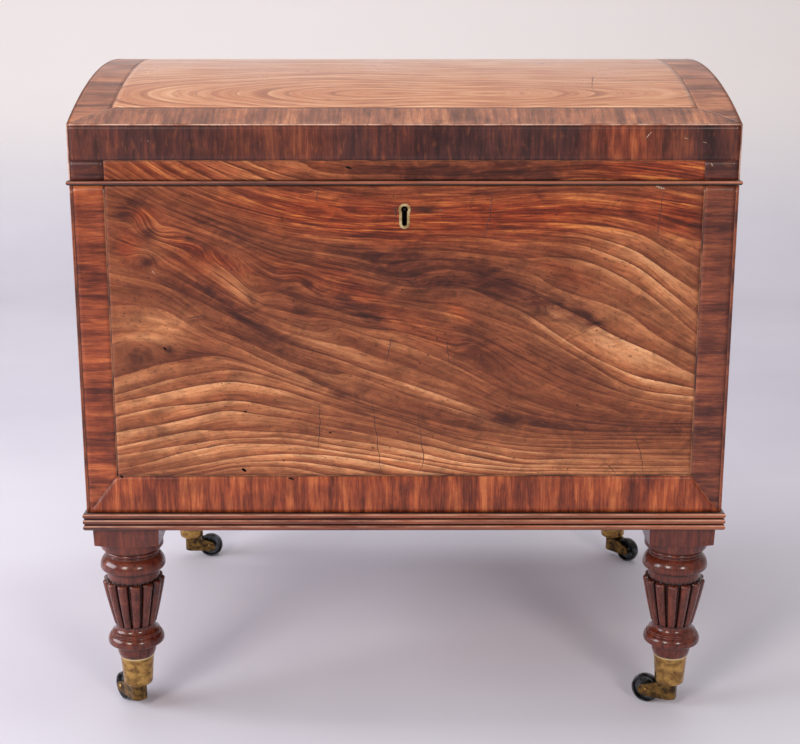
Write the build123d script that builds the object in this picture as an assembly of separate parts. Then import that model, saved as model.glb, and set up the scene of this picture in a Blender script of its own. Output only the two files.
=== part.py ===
from build123d import *
import math
import os

# An antique mahogany cellarette: a box for bottles with a domed lid, on four turned and reeded legs
# that end in brass cup castors. Sizes are in millimetres. X runs across the front, Y from front to
# back and Z up. The front faces -Y, the wheels stand on Z = 0, and the box is centred on X = Y = 0.

# Castors
wheel_radius = 16.5
wheel_width = 10.0
wheel_rim = 2.6
wheel_web = 3.4
wheel_hub_radius = 5.2
wheel_bore_clearance = 0.1
wheel_side_clearance = 0.4
wheel_tread_clearance = 1.0
wheel_crown = 1.0
wheel_dish_slope = 1.5
axle_radius = 2.4
axle_head_radius = 3.7
axle_head_height = 1.1
trail = 27.0
horn_height = 30.2
horn_ground_clearance = 11.0
horn_front = 8.5
cheek_thickness = 3.6
cheek_eye_radius = 6.5
spindle_radius = 4.0
spindle_clearance = 0.05
spindle_head_radius = 6.5
spindle_head_height = 2.4
swivel_gap = 0.3
castor_angle_front_left = 130.0
castor_angle_front_right = 150.0
castor_angle_rear_left = 3.0
castor_angle_rear_right = -46.0

# Castor cups
cup_height = 35.5
cup_top_radius = 18.5
cup_bottom_radius = 15.9
cup_wall = 1.8
cup_floor = 4.0
cup_lip_height = 1.8
cup_lip_proud = 0.6
cup_corner_radius = 3.2
peg_length = 25.0
peg_clearance = 0.08

# Turned legs, from the castor upwards
collar_height = 15.3
collar_bulge_height = 4.6
collar_foot_radius = 19.1
collar_radius = 21.0
collar_neck_radius = 20.2
foot_ring_height = 22.2
foot_ring_radius = 31.0
foot_ring_underside_radius = 29.4
foot_ring_top_radius = 28.0
foot_ring_bead_height = 11.4
foot_ring_drop = 3.0
ring_undercut = 0.4
fillet_height = 1.7
fillet_step = 0.8
ankle_radius = 21.6
ankle_sweep_radius = 11.1
reeded_height = 55.0
reed_count = 13
reed_top_radius = 34.3
reed_foot_radius = 23.2
reed_fill = 0.94
reed_core_share = 0.80
reed_end_height = 3.4
reed_end_step = 1.0
first_reed_angle = 12.0
neck_height = 11.8
neck_radius = 28.6
head_ring_height = 15.9
head_ring_radius = 35.6
head_ring_underside_radius = 33.4
head_ring_top_radius = 29.6
head_ring_drop = 3.8
throat_height = 9.1
throat_radius = 29.3
throat_groove_radius = 28.0
throat_fillet_radius = 30.4
disc_height = 9.7
disc_radius = 34.2
disc_foot_radius = 33.2
disc_foot_height = 1.6
block_height = 22.7
block_width = 71.0
block_foot_width = 69.4
block_corner_lift = 2.4
dowel_radius = 12.5
dowel_length = 11.0
joint_clearance = 0.1

# Case
case_width = 680.0
case_depth = 546.0
case_height = 370.5
case_board = 20.0
bottom_board_thickness = 16.0
leg_inset = 4.0
moulding_height = 19.7
moulding_proud = 4.5
moulding_let_in = 6.0
moulding_reeds = 3
reed_groove_depth = 2.2

# Lead lining and bottle divisions
lining_thickness = 1.5
lining_below_lock = 5.0
divider_thickness = 8.0
divider_height = 220.0
divider_end_gap = 0.4
divider_notch_clearance = 0.2
bottles_across = 5
bottles_deep = 4

# Lid
lid_gap = 0.4
lid_edge_height = 61.4
lid_board = 18.0
dome_rise = 49.0
dome_thickness = 14.0
dome_stave_names = ["front", "middle", "rear"]
bead_height = 5.0
bead_proud = 3.2
bead_let_in = 2.8

# Hinges
hinge_length = 64.0
hinge_offset = 200.0
hinge_leaf_width = 20.0
hinge_leaf_thickness = 2.0
knuckle_radius = 3.4
knuckle_count = 5
knuckle_end_gap = 0.3
knuckle_wood_gap = 0.3
hinge_pin_radius = 1.5
hinge_pin_clearance = 0.05
hinge_stop_angle = 95.0
hinge_stop_gap = 0.1
hinge_screws_per_leaf = 3

# Screws
screw_head_radius = 2.9
screw_head_depth = 1.4
screw_shank_radius = 1.4
screw_length = 11.0
screw_clearance = 0.05

# Lock
lock_width = 76.0
lock_height = 45.0
lock_depth = 12.0
lock_wall = 1.6
lock_selvedge_overhang = 7.0
lock_selvedge_thickness = 2.0
lock_fit = 0.2
hook_offset = 20.0
hook_thickness = 3.0
hook_width = 8.0
hook_length = 14.0
hook_eye_width = 4.4
hook_eye_height = 5.2
hook_toe_height = 2.8
hook_tenon_width = 4.0
hook_clearance = 0.6
link_plate_length = 64.0
link_plate_width = 10.0
link_plate_thickness = 2.0
bolt_thickness = 3.4
bolt_finger_height = 4.0
bolt_finger_length = 6.0
bolt_post_width = 5.0
bolt_bar_height = 5.0
bolt_hook_gap = 1.0
bolt_bar_drop = 2.6
bolt_guide_gap = 0.1
bolt_guide_width = 4.0
bolt_talon_radius = 4.0
bolt_talon_depth = 2.0
key_pin_drop = 24.5
key_pin_radius = 1.3
key_pin_length = 15.4
keyhole_head_radius = 3.55
keyhole_slot_width = 5.3
keyhole_height = 20.6
escutcheon_margin = 2.6
escutcheon_thickness = 3.0
escutcheon_proud = 0.5
cut_overrun = 1.0

# Levels and places that follow from the sizes above
cup_bottom = horn_height + swivel_gap
cup_top = cup_bottom + cup_height
peg_bottom = cup_top - peg_length
collar_top = cup_top + collar_height
ankle_level = collar_top + foot_ring_height
reeds_top = ankle_level + reeded_height
neck_top = reeds_top + neck_height
head_ring_top = neck_top + head_ring_height
throat_top = head_ring_top + throat_height
block_foot = throat_top + disc_height
case_bottom = block_foot + block_height
case_top = case_bottom + case_height
lid_bottom = case_top + lid_gap
lid_edge = lid_bottom + lid_edge_height
half_width = case_width / 2
half_depth = case_depth / 2
inner_half_width = half_width - case_board
inner_half_depth = half_depth - case_board
bottom_board_top = case_bottom + bottom_board_thickness
lining_floor = bottom_board_top + lining_thickness
dome_radius = (dome_rise**2 + half_depth**2) / (2 * dome_rise)
dome_centre = lid_edge + dome_rise - dome_radius
dome_inner_radius = dome_radius - dome_thickness
leg_x = half_width - leg_inset - block_width / 2
leg_y = half_depth - leg_inset - block_width / 2
hinge_y = half_depth - knuckle_radius
hinge_z = case_top + lid_gap / 2
lock_front = -inner_half_depth - lock_depth
lock_centre_y = -inner_half_depth - lock_depth / 2
lock_bottom = case_top - lock_height
lining_top = lock_bottom - lining_below_lock
key_pin_z = case_top - key_pin_drop
horn_width = wheel_width + 2 * (wheel_side_clearance + cheek_thickness)
castor_places = {
    "front_left": (-leg_x, -leg_y, castor_angle_front_left),
    "front_right": (leg_x, -leg_y, castor_angle_front_right),
    "rear_left": (-leg_x, leg_y, castor_angle_rear_left),
    "rear_right": (leg_x, leg_y, castor_angle_rear_right),
}
parts = {}


def turned(outline):
    """A solid turned about the Z axis from closed edges drawn as (radius, height)."""
    return revolve(Plane.XZ * make_face(outline), Axis.Z)


def block_between(low, high):
    """A square-edged block between two opposite corners."""
    size = [high[i] - low[i] for i in range(3)]
    centre = [(high[i] + low[i]) / 2 for i in range(3)]
    return Pos(*centre) * Box(*size)


def prism(points, bottom, top):
    """A solid with a plan outline of corner points, standing between two levels."""
    outline = make_face(Polyline(*points, close=True))
    return extrude(Pos(0, 0, bottom) * outline, top - bottom)


# Plan outlines: a board or strip along each side of the box, mitred at its corners
def mitred_plan(side, reach, depth):
    """Corners of a strip whose outer face stands `reach` outside the box and is `depth` deep."""
    x_out = half_width + reach
    y_out = half_depth + reach
    x_in = x_out - depth
    y_in = y_out - depth
    plans = {
        "front": [(-x_out, -y_out), (x_out, -y_out), (x_in, -y_in), (-x_in, -y_in)],
        "back": [(x_out, y_out), (-x_out, y_out), (-x_in, y_in), (x_in, y_in)],
        "left": [(-x_out, y_out), (-x_out, -y_out), (-x_in, -y_in), (-x_in, y_in)],
        "right": [(x_out, -y_out), (x_out, y_out), (x_in, y_in), (x_in, -y_in)],
    }
    return plans[side]


# Along X for the front and back strips, along Y for the side ones
def run_of_section(section, side):
    """A section drawn as (distance outside the box, height), run along one side of the box."""
    length = 2 * max(case_width, case_depth)
    frames = {
        "front": Plane((0, -half_depth, 0), x_dir=(0, -1, 0), z_dir=(-1, 0, 0)),
        "back": Plane((0, half_depth, 0), x_dir=(0, 1, 0), z_dir=(1, 0, 0)),
        "left": Plane((-half_width, 0, 0), x_dir=(-1, 0, 0), z_dir=(0, 1, 0)),
        "right": Plane((half_width, 0, 0), x_dir=(1, 0, 0), z_dir=(0, -1, 0)),
    }
    return extrude(frames[side] * section, length / 2, both=True)


# Countersunk wood screw with its head at Z = 0 and its point below
def wood_screw(extra=0.0):
    """The screw itself, or with an extra radius the hole that takes it."""
    head = screw_head_radius + extra
    shank = screw_shank_radius + extra
    tip = -screw_length - extra
    return turned(Polyline(
        (0, 0), (head, 0), (shank, -screw_head_depth), (shank, tip + shank), (0, tip), close=True
    ))


# Keyhole outline in the front's own plane, its pin at the origin
def keyhole_outline(margin=0.0):
    """A round head over a straight slot with a rounded foot, grown by a margin."""
    head = Circle(keyhole_head_radius + margin)
    slot_half = keyhole_slot_width / 2 + margin
    foot = keyhole_head_radius - keyhole_height + slot_half - margin
    slot = Pos(0, foot / 2) * Rectangle(2 * slot_half, -foot)
    return head + slot + Pos(0, foot) * Circle(slot_half)


front_frame = Plane((0, -half_depth, key_pin_z), x_dir=(1, 0, 0), z_dir=(0, -1, 0))


def cut_through_front(outline, depth, proud=cut_overrun):
    """An outline run back into the front board from a little outside its face."""
    return extrude(front_frame.offset(proud) * outline, -(depth + proud))


# Hinge places, and the wood that the hinges need cut away
hinge_places = {"left": -hinge_offset, "right": hinge_offset}


def hinge_recess(centre_x, below):
    """The housing for one leaf and the knuckles in the case's rim, or in the lid's."""
    level = case_top if below else lid_bottom
    reach = -hinge_leaf_thickness if below else hinge_leaf_thickness
    half = hinge_length / 2 + joint_clearance
    leaf = block_between(
        (centre_x - half, hinge_y - hinge_leaf_width - joint_clearance, min(level, level + reach)),
        (centre_x + half, hinge_y, max(level, level + reach)),
    )
    knuckles = Cylinder(knuckle_radius + knuckle_wood_gap, 2 * half)
    return leaf + Pos(centre_x, hinge_y, hinge_z) * Rot(0, 90, 0) * knuckles


def stop_chamfer(below):
    """The wedge taken off a rear edge, so that the opened lid leans on the case at its stop."""
    angle = math.radians(hinge_stop_angle / 2)
    sign = -1 if below else 1
    start_z = hinge_z + sign * hinge_stop_gap / math.cos(angle)
    reach = 2 * knuckle_radius
    rise = sign * reach * math.tan(angle)
    wedge = make_face(Polyline(
        (hinge_y, start_z), (hinge_y + reach, start_z + rise), (hinge_y + reach, hinge_z),
        (hinge_y, hinge_z), close=True,
    ))
    return extrude(Plane.YZ * wedge, case_width, both=True)


# Screw places, as (x, y) in plan
leaf_screw_y = hinge_y - knuckle_radius - (hinge_leaf_width - knuckle_radius) / 2
leaf_screw_pitch = hinge_length / hinge_screws_per_leaf
hinge_screw_places = [
    (centre_x + (n - (hinge_screws_per_leaf - 1) / 2) * leaf_screw_pitch, leaf_screw_y)
    for centre_x in hinge_places.values()
    for n in range(hinge_screws_per_leaf)
]
selvedge_half = lock_width / 2 + lock_selvedge_overhang
selvedge_screw_x = lock_width / 2 + lock_selvedge_overhang / 2
selvedge_screws = [(-selvedge_screw_x, lock_centre_y), (selvedge_screw_x, lock_centre_y)]
link_plate_y = -half_depth + lid_board - link_plate_width / 2
link_screws = [(0, link_plate_y)]


def screws_at(places, level, pointing_down, extra=0.0):
    """Screws, or their holes, with their heads flush at one level."""
    turn = Rot(0, 0, 0) if pointing_down else Rot(180, 0, 0)
    return [Pos(x, y, level) * turn * wood_screw(extra) for x, y in places]


case_screws = screws_at(hinge_screw_places + selvedge_screws, case_top, True)
case_screw_holes = screws_at(hinge_screw_places + selvedge_screws, case_top, True, screw_clearance)
lid_screws = screws_at(hinge_screw_places + link_screws, lid_bottom, False)
lid_screw_holes = screws_at(hinge_screw_places + link_screws, lid_bottom, False, screw_clearance)


# Case: four veneered boards mitred at the corners, rebated at the foot for the moulding
def case_side(side):
    """One side of the case with the rebate that the reeded moulding sits in."""
    body = prism(mitred_plan(side, 0, case_board), case_bottom, case_top)
    rebate = prism(mitred_plan(side, 0, moulding_let_in), case_bottom, case_bottom + moulding_height)
    return body - rebate


def lock_mortise():
    """The recess in the front board's inner face for the lock and its selvedge."""
    fit = lock_fit
    body = block_between(
        (-lock_width / 2 - fit, lock_front - fit, lock_bottom - fit),
        (lock_width / 2 + fit, -inner_half_depth, case_top),
    )
    selvedge = block_between(
        (-selvedge_half - fit, lock_front - fit, case_top - lock_selvedge_thickness),
        (selvedge_half + fit, -inner_half_depth, case_top),
    )
    return body + selvedge


front_board = case_side("front") - lock_mortise()
front_board -= cut_through_front(keyhole_outline(), case_board)
front_board -= cut_through_front(keyhole_outline(escutcheon_margin), escutcheon_thickness)
front_board -= case_screw_holes[-len(selvedge_screws):]
back_board = case_side("back") - stop_chamfer(below=True)
back_board -= [hinge_recess(x, below=True) for x in hinge_places.values()]
back_board -= case_screw_holes[:len(hinge_screw_places)]
parts["front_board"] = front_board
parts["back_board"] = back_board
parts["left_side_board"] = case_side("left") - stop_chamfer(below=True)
parts["right_side_board"] = case_side("right") - stop_chamfer(below=True)

# Bottom board between the sides, bored for the legs' dowels
bottom_board = block_between(
    (-inner_half_width, -inner_half_depth, case_bottom),
    (inner_half_width, inner_half_depth, bottom_board_top),
)
for leg_place_x, leg_place_y, _ in castor_places.values():
    socket = Cylinder(
        dowel_radius + joint_clearance, dowel_length + joint_clearance,
        align=(Align.CENTER, Align.CENTER, Align.MIN),
    )
    bottom_board -= Pos(leg_place_x, leg_place_y, case_bottom) * socket
parts["bottom_board"] = bottom_board


# Reeded moulding round the foot of the case: three half-round reeds side by side
def moulding_section():
    """Section as (distance outside the box, height): a flat back and three bulging reeds."""
    pitch = moulding_height / moulding_reeds
    groove = moulding_proud - reed_groove_depth
    outline = Polyline(
        (groove, case_bottom), (-moulding_let_in, case_bottom),
        (-moulding_let_in, case_bottom + moulding_height), (groove, case_bottom + moulding_height),
    )
    for n in range(moulding_reeds):
        foot = case_bottom + n * pitch
        crest = (moulding_proud, foot + pitch / 2)
        outline += ThreePointArc((groove, foot), crest, (groove, foot + pitch))
    return make_face(outline)


for side in ("front", "back", "left", "right"):
    strip_plan = mitred_plan(side, moulding_proud, moulding_proud + moulding_let_in)
    strip = prism(strip_plan, case_bottom, case_bottom + moulding_height)
    parts[f"plinth_moulding_{side}"] = strip & run_of_section(moulding_section(), side)

# Lead lining: a shallow tray of sheet lead dressed against the boards, its top below the lock
lining_outer = block_between(
    (-inner_half_width, -inner_half_depth, bottom_board_top),
    (inner_half_width, inner_half_depth, lining_top),
)
lining_half_x = inner_half_width - lining_thickness
lining_half_y = inner_half_depth - lining_thickness
lining_inner = block_between(
    (-lining_half_x, -lining_half_y, lining_floor), (lining_half_x, lining_half_y, lining_top)
)
parts["lead_lining"] = lining_outer - lining_inner

# Bottle divisions: upright boards that cross and are halved into each other
cell_x = (2 * lining_half_x - (bottles_across - 1) * divider_thickness) / bottles_across
cell_y = (2 * lining_half_y - (bottles_deep - 1) * divider_thickness) / bottles_deep
cross_board_x = [
    -lining_half_x + n * (cell_x + divider_thickness) - divider_thickness / 2
    for n in range(1, bottles_across)
]
long_board_y = [
    -lining_half_y + n * (cell_y + divider_thickness) - divider_thickness / 2
    for n in range(1, bottles_deep)
]
divider_top = lining_floor + divider_height
divider_middle = lining_floor + divider_height / 2


def notch(x, y, low, high):
    """The halving cut where two division boards cross."""
    half = divider_thickness / 2 + divider_notch_clearance
    return block_between((x - half, y - half, low), (x + half, y + half, high))


for n, x in enumerate(cross_board_x, 1):
    cross_board = block_between(
        (x - divider_thickness / 2, -lining_half_y + divider_end_gap, lining_floor),
        (x + divider_thickness / 2, lining_half_y - divider_end_gap, divider_top),
    )
    cuts = [notch(x, y, divider_middle, divider_top) for y in long_board_y]
    parts[f"bottle_divider_cross_{n}"] = cross_board - cuts
for n, y in enumerate(long_board_y, 1):
    long_board = block_between(
        (-lining_half_x + divider_end_gap, y - divider_thickness / 2, lining_floor),
        (lining_half_x - divider_end_gap, y + divider_thickness / 2, divider_top),
    )
    cuts = [notch(x, y, lining_floor, divider_middle) for x in cross_board_x]
    parts[f"bottle_divider_long_{n}"] = long_board - cuts


# Turned leg: square block over a disc, ringed head, reeded taper, foot ring, collar and peg
def cup_inner_radius(level):
    """Radius of the castor cup's tapered hollow at one level."""
    share = (level - cup_bottom) / cup_height
    return cup_bottom_radius + (cup_top_radius - cup_bottom_radius) * share - cup_wall


def ring_bulge(foot, widest, top):
    """Outline of a turned ring: two round arcs that meet upright at its widest point."""
    lower = TangentArc(widest, foot, tangent=(0, -1))
    return lower + TangentArc(widest, top, tangent=(0, 1))


def lower_leg_outline():
    """Outline edges from the peg's end up to the ankle under the reeds."""
    bulge = cup_top + collar_bulge_height
    bead_foot = collar_top + ring_undercut
    bead_top = collar_top + foot_ring_bead_height
    first = foot_ring_top_radius - fillet_step
    second = first - fillet_step
    outline = Polyline(
        (0, peg_bottom), (cup_inner_radius(peg_bottom) - peg_clearance, peg_bottom),
        (cup_inner_radius(cup_top) - peg_clearance, cup_top), (collar_foot_radius, cup_top),
    )
    outline += ThreePointArc(
        (collar_foot_radius, cup_top), (collar_radius, bulge), (collar_neck_radius, collar_top)
    )
    outline += Line((collar_neck_radius, collar_top), (foot_ring_underside_radius, bead_foot))
    outline += ring_bulge(
        (foot_ring_underside_radius, bead_foot), (foot_ring_radius, bead_foot + foot_ring_drop),
        (foot_ring_top_radius, bead_top),
    )
    outline += Polyline(
        (foot_ring_top_radius, bead_top), (first, bead_top), (first, bead_top + fillet_height),
        (second, bead_top + fillet_height), (second, bead_top + 2 * fillet_height),
    )
    outline += RadiusArc(
        (second, bead_top + 2 * fillet_height), (ankle_radius, ankle_level), ankle_sweep_radius
    )
    return outline


def upper_leg_outline():
    """Outline edges from the top of the reeds up through the head ring to the disc under the block."""
    ring_foot = neck_top + ring_undercut
    groove_foot = head_ring_top + fillet_height
    groove_top = groove_foot + fillet_height
    ring_top = groove_top + 2 * fillet_height
    lip = head_ring_top_radius - fillet_step
    outline = Polyline(
        (neck_radius, reeds_top), (neck_radius, neck_top), (head_ring_underside_radius, ring_foot)
    )
    outline += ring_bulge(
        (head_ring_underside_radius, ring_foot), (head_ring_radius, ring_foot + head_ring_drop),
        (head_ring_top_radius, head_ring_top),
    )
    outline += Polyline(
        (head_ring_top_radius, head_ring_top), (lip, head_ring_top), (lip, groove_foot),
        (throat_groove_radius, groove_foot), (throat_groove_radius, groove_top),
        (throat_fillet_radius, groove_top), (throat_fillet_radius, ring_top), (throat_radius, ring_top),
        (throat_radius, throat_top), (disc_foot_radius, throat_top),
        (disc_radius, throat_top + disc_foot_height), (disc_radius, block_foot),
    )
    return outline


def reed_section(radius):
    """Plan of the reeded taper at one level: round reeds, nearly touching, standing on a core."""
    half_pitch = math.sin(math.pi / reed_count)
    reed_radius = reed_fill * radius * half_pitch / (1 + half_pitch)
    plan = Circle(reed_core_share * radius)
    for n in range(reed_count):
        plan += Rot(0, 0, n * 360 / reed_count) * Pos(radius - reed_radius, 0) * Circle(reed_radius)
    return plan


def reeded_taper():
    """Reeds lofted straight from section to section, drawn in at the foot and rounded over at the top."""
    sections = [
        (ankle_level, ankle_radius + fillet_step),
        (ankle_level + fillet_height, reed_foot_radius),
        (reeds_top - reed_end_height, reed_top_radius),
        (reeds_top - reed_end_step, reed_top_radius - reed_end_step),
        (reeds_top, neck_radius + fillet_step),
    ]
    return loft([Pos(0, 0, level) * reed_section(radius) for level, radius in sections], ruled=True)


def leg_block():
    """The square block, a little narrower at its foot, its lower corners eased by the turning."""
    foot = Pos(0, 0, block_foot) * Rectangle(block_foot_width, block_foot_width)
    top = Pos(0, 0, case_bottom) * Rectangle(block_width, block_width)
    corner = block_width / math.sqrt(2) + joint_clearance
    envelope = Polyline(
        (0, block_foot), (disc_radius, block_foot), (corner, block_foot + block_corner_lift),
        (corner, case_bottom), (0, case_bottom), close=True,
    )
    return loft([foot, top]) & turned(envelope)


def turned_leg(reed_angle):
    """One whole leg on the Z axis, with the dowel that enters the bottom board."""
    foot = lower_leg_outline() + Polyline((ankle_radius, ankle_level), (0, ankle_level), (0, peg_bottom))
    head = upper_leg_outline() + Polyline((disc_radius, block_foot), (0, block_foot), (0, reeds_top))
    head += Line((0, reeds_top), (neck_radius, reeds_top))
    dowel = Pos(0, 0, case_bottom) * Cylinder(
        dowel_radius, dowel_length, align=(Align.CENTER, Align.CENTER, Align.MIN)
    )
    return turned(foot) + Rot(0, 0, reed_angle) * reeded_taper() + turned(head) + leg_block() + dowel


left_leg = turned_leg(first_reed_angle - 90)
right_leg = turned_leg(-first_reed_angle - 90)
for name, (x, y, _) in castor_places.items():
    parts[f"leg_{name}"] = Pos(x, y, 0) * (left_leg if x < 0 else right_leg)


# Castor cup: a tapered brass cup with a small lip, bored in its floor for the horn's spindle
def castor_cup():
    """The cup on the Z axis, turned from its wall, floor and lip."""
    lip_foot = cup_top - cup_lip_height
    bore = spindle_radius + spindle_clearance
    floor_top = cup_bottom + cup_floor
    corner_top = cup_bottom + cup_corner_radius
    taper = (cup_top_radius - cup_bottom_radius) / cup_height
    corner_radius = cup_bottom_radius + taper * cup_corner_radius
    outline = Polyline(
        (bore, cup_bottom), (bore, floor_top), (cup_inner_radius(floor_top), floor_top),
        (cup_inner_radius(cup_top), cup_top), (cup_top_radius + cup_lip_proud, cup_top),
        (cup_top_radius + cup_lip_proud, lip_foot), (cup_top_radius, lip_foot),
        (corner_radius, corner_top),
    )
    outline += RadiusArc(
        (corner_radius, corner_top), (corner_radius - cup_corner_radius, cup_bottom), cup_corner_radius
    )
    outline += Line((corner_radius - cup_corner_radius, cup_bottom), (bore, cup_bottom))
    return turned(outline)


# Castor horn: a swivelling fork with its spindle, trailing along +X with the axle along Y
def castor_horn():
    """A block under the cup that splits into two teardrop cheeks round the wheel."""
    side_face = Plane((0, horn_width / 2, 0), x_dir=(1, 0, 0), z_dir=(0, -1, 0))
    eye = Pos(trail, wheel_radius) * Circle(cheek_eye_radius)
    shank_size = (2 * horn_front, horn_height - horn_ground_clearance)
    shank = Pos(0, (horn_height + horn_ground_clearance) / 2) * Rectangle(*shank_size)
    fork = extrude(side_face * make_hull(eye.edges() + shank.edges()), horn_width)
    plan = Circle(horn_width / 2) + Pos(trail, 0) * Rectangle(2 * trail, horn_width)
    fork &= extrude(plan, horn_height)
    wheel_room = Cylinder(wheel_radius + wheel_tread_clearance, wheel_width + 2 * wheel_side_clearance)
    eye_bore = Cylinder(axle_radius + spindle_clearance, 2 * horn_width)
    fork -= Pos(trail, 0, wheel_radius) * Rot(90, 0, 0) * (wheel_room + eye_bore)
    spindle_top = cup_bottom + cup_floor + swivel_gap
    spindle = turned(Polyline(
        (0, horn_height), (spindle_radius, horn_height), (spindle_radius, spindle_top),
        (spindle_head_radius, spindle_top), (spindle_radius, spindle_top + spindle_head_height),
        (0, spindle_top + spindle_head_height), close=True,
    ))
    return fork + spindle


def castor_axle():
    """The axle pin across the fork, riveted over outside both cheeks."""
    half = horn_width / 2
    outline = Polyline(
        (0, -half - axle_head_height), (axle_radius, -half - axle_head_height), (axle_head_radius, -half),
        (axle_radius, -half), (axle_radius, half), (axle_head_radius, half),
        (axle_radius, half + axle_head_height), (0, half + axle_head_height), close=True,
    )
    return Pos(trail, 0, wheel_radius) * Rot(90, 0, 0) * turned(outline)


def castor_wheel():
    """A brass wheel dished on both faces, with a hub and a crowned tread."""
    bore = axle_radius + wheel_bore_clearance
    half = wheel_width / 2
    tread_edge = wheel_radius - wheel_crown
    rim_inside = wheel_radius - wheel_rim
    web = wheel_web / 2
    web_outer = rim_inside - wheel_dish_slope
    web_inner = wheel_hub_radius + wheel_dish_slope
    outline = Polyline(
        (tread_edge, -half), (rim_inside, -half), (web_outer, -web), (web_inner, -web),
        (wheel_hub_radius, -half), (bore, -half), (bore, half), (wheel_hub_radius, half),
        (web_inner, web), (web_outer, web), (rim_inside, half), (tread_edge, half),
    )
    outline += ThreePointArc((tread_edge, half), (wheel_radius, 0), (tread_edge, -half))
    return Pos(trail, 0, wheel_radius) * Rot(90, 0, 0) * turned(outline)


cup = castor_cup()
horn = castor_horn()
axle = castor_axle()
wheel = castor_wheel()
for name, (x, y, angle) in castor_places.items():
    place = Pos(x, y, 0) * Rot(0, 0, angle)
    parts[f"castor_cup_{name}"] = place * cup
    parts[f"castor_horn_{name}"] = place * horn
    parts[f"castor_axle_{name}"] = place * axle
    parts[f"castor_wheel_{name}"] = place * wheel


# Lid frame: two rails and two arched ends, mitred, their tops following the dome
def lid_side(side):
    """One side of the lid, rebated at its foot for the cock bead where it has one."""
    body = prism(mitred_plan(side, 0, lid_board), lid_bottom, lid_edge + dome_rise)
    body &= Pos(0, 0, dome_centre) * Rot(0, 90, 0) * Cylinder(dome_inner_radius, 2 * case_width)
    if side != "back":
        body -= bead_room(side)
    return body - stop_chamfer(below=False)


def bead_plan(side, reach, depth):
    """The bead's plan: mitred at the front corners, and square where it stops at the back."""
    x_out = half_width + reach
    y_out = half_depth + reach
    plans = {
        "front": mitred_plan("front", reach, depth),
        "left": [(-x_out, half_depth), (-x_out, -y_out), (-x_out + depth, -y_out + depth),
                 (-x_out + depth, half_depth)],
        "right": [(x_out, -y_out), (x_out, half_depth), (x_out - depth, half_depth),
                  (x_out - depth, -y_out + depth)],
    }
    return plans[side]


def bead_room(side):
    """The rebate for the bead along the lid's lower edge."""
    plan = bead_plan(side, bead_proud, bead_proud + bead_let_in)
    return prism(plan, lid_bottom, lid_bottom + bead_height)


def bead_section():
    """A strip with a half-round nose, drawn as (distance outside the box, height)."""
    nose = bead_proud - bead_height / 2
    top = lid_bottom + bead_height
    crest = (bead_proud, lid_bottom + bead_height / 2)
    outline = Polyline((nose, lid_bottom), (-bead_let_in, lid_bottom), (-bead_let_in, top), (nose, top))
    outline += ThreePointArc((nose, top), crest, (nose, lid_bottom))
    return make_face(outline)


def link_plate_housing():
    """The shallow housing for the lock's link plate under the front rail."""
    half = link_plate_length / 2 + joint_clearance
    return block_between(
        (-half, link_plate_y - link_plate_width / 2 - joint_clearance, lid_bottom),
        (half, -half_depth + lid_board, lid_bottom + link_plate_thickness),
    )


parts["lid_front_rail"] = lid_side("front") - link_plate_housing() - lid_screw_holes[-len(link_screws):]
lid_back_rail = lid_side("back") - [hinge_recess(x, below=False) for x in hinge_places.values()]
lid_back_rail -= [bead_room("left"), bead_room("right")]
parts["lid_back_rail"] = lid_back_rail - lid_screw_holes[:len(hinge_screw_places)]
parts["lid_left_end"] = lid_side("left")
parts["lid_right_end"] = lid_side("right")
for side in ("front", "left", "right"):
    bead = bead_room(side) & run_of_section(bead_section(), side)
    parts[f"cock_bead_{side}"] = bead - stop_chamfer(below=False)

# Dome: coopered staves planed to one curve, meeting on planes through the curve's centre line
dome_half_angle = math.degrees(math.asin(half_depth / dome_radius))


def dome_stave(n):
    """One stave of the dome, numbered from the front; the outer two are trimmed at the lid's faces."""
    last = len(dome_stave_names) - 1
    step = 2 * dome_half_angle / (last + 1)
    start = -dome_half_angle + n * step
    edges = [start - (step if n == 0 else 0), start + step + (step if n == last else 0)]
    far = 2 * dome_radius
    corners = [(far * math.sin(math.radians(a)), far * math.cos(math.radians(a))) for a in edges]
    wedge = make_face(Polyline((0, 0), *corners, close=True))
    band = (Circle(dome_radius) - Circle(dome_inner_radius)) & wedge & Rectangle(case_depth, 2 * far)
    return extrude(Plane.YZ * Pos(0, dome_centre) * band, half_width, both=True)


for n, name in enumerate(dome_stave_names):
    parts[f"lid_stave_{name}"] = dome_stave(n)


# Butt hinges: a leaf let into each rim, knuckles turn about, and a pin through all
def knuckle_spans(below):
    """Start and length along the hinge of the knuckles that belong to one leaf."""
    pitch = hinge_length / knuckle_count
    owned = [n for n in range(knuckle_count) if (n % 2 == 0) == below]
    return [(n * pitch + knuckle_end_gap / 2, pitch - knuckle_end_gap) for n in owned]


def hinge_leaf(centre_x, below):
    """One leaf with its knuckles, its screw holes and room for the other leaf's knuckles."""
    half = hinge_length / 2
    level = case_top - hinge_leaf_thickness if below else lid_bottom
    leaf = block_between(
        (centre_x - half, hinge_y - hinge_leaf_width, level),
        (centre_x + half, hinge_y, level + hinge_leaf_thickness),
    )
    pitch = hinge_length / knuckle_count
    for start, length in knuckle_spans(not below):
        room = Cylinder(knuckle_radius + knuckle_wood_gap, pitch + knuckle_end_gap)
        leaf -= Pos(centre_x - half + start + length / 2, hinge_y, hinge_z) * Rot(0, 90, 0) * room
    for start, length in knuckle_spans(below):
        knuckle = Cylinder(knuckle_radius, length)
        leaf += Pos(centre_x - half + start + length / 2, hinge_y, hinge_z) * Rot(0, 90, 0) * knuckle
    bore = Cylinder(hinge_pin_radius + hinge_pin_clearance, 2 * hinge_length)
    return leaf - Pos(centre_x, hinge_y, hinge_z) * Rot(0, 90, 0) * bore


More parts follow.
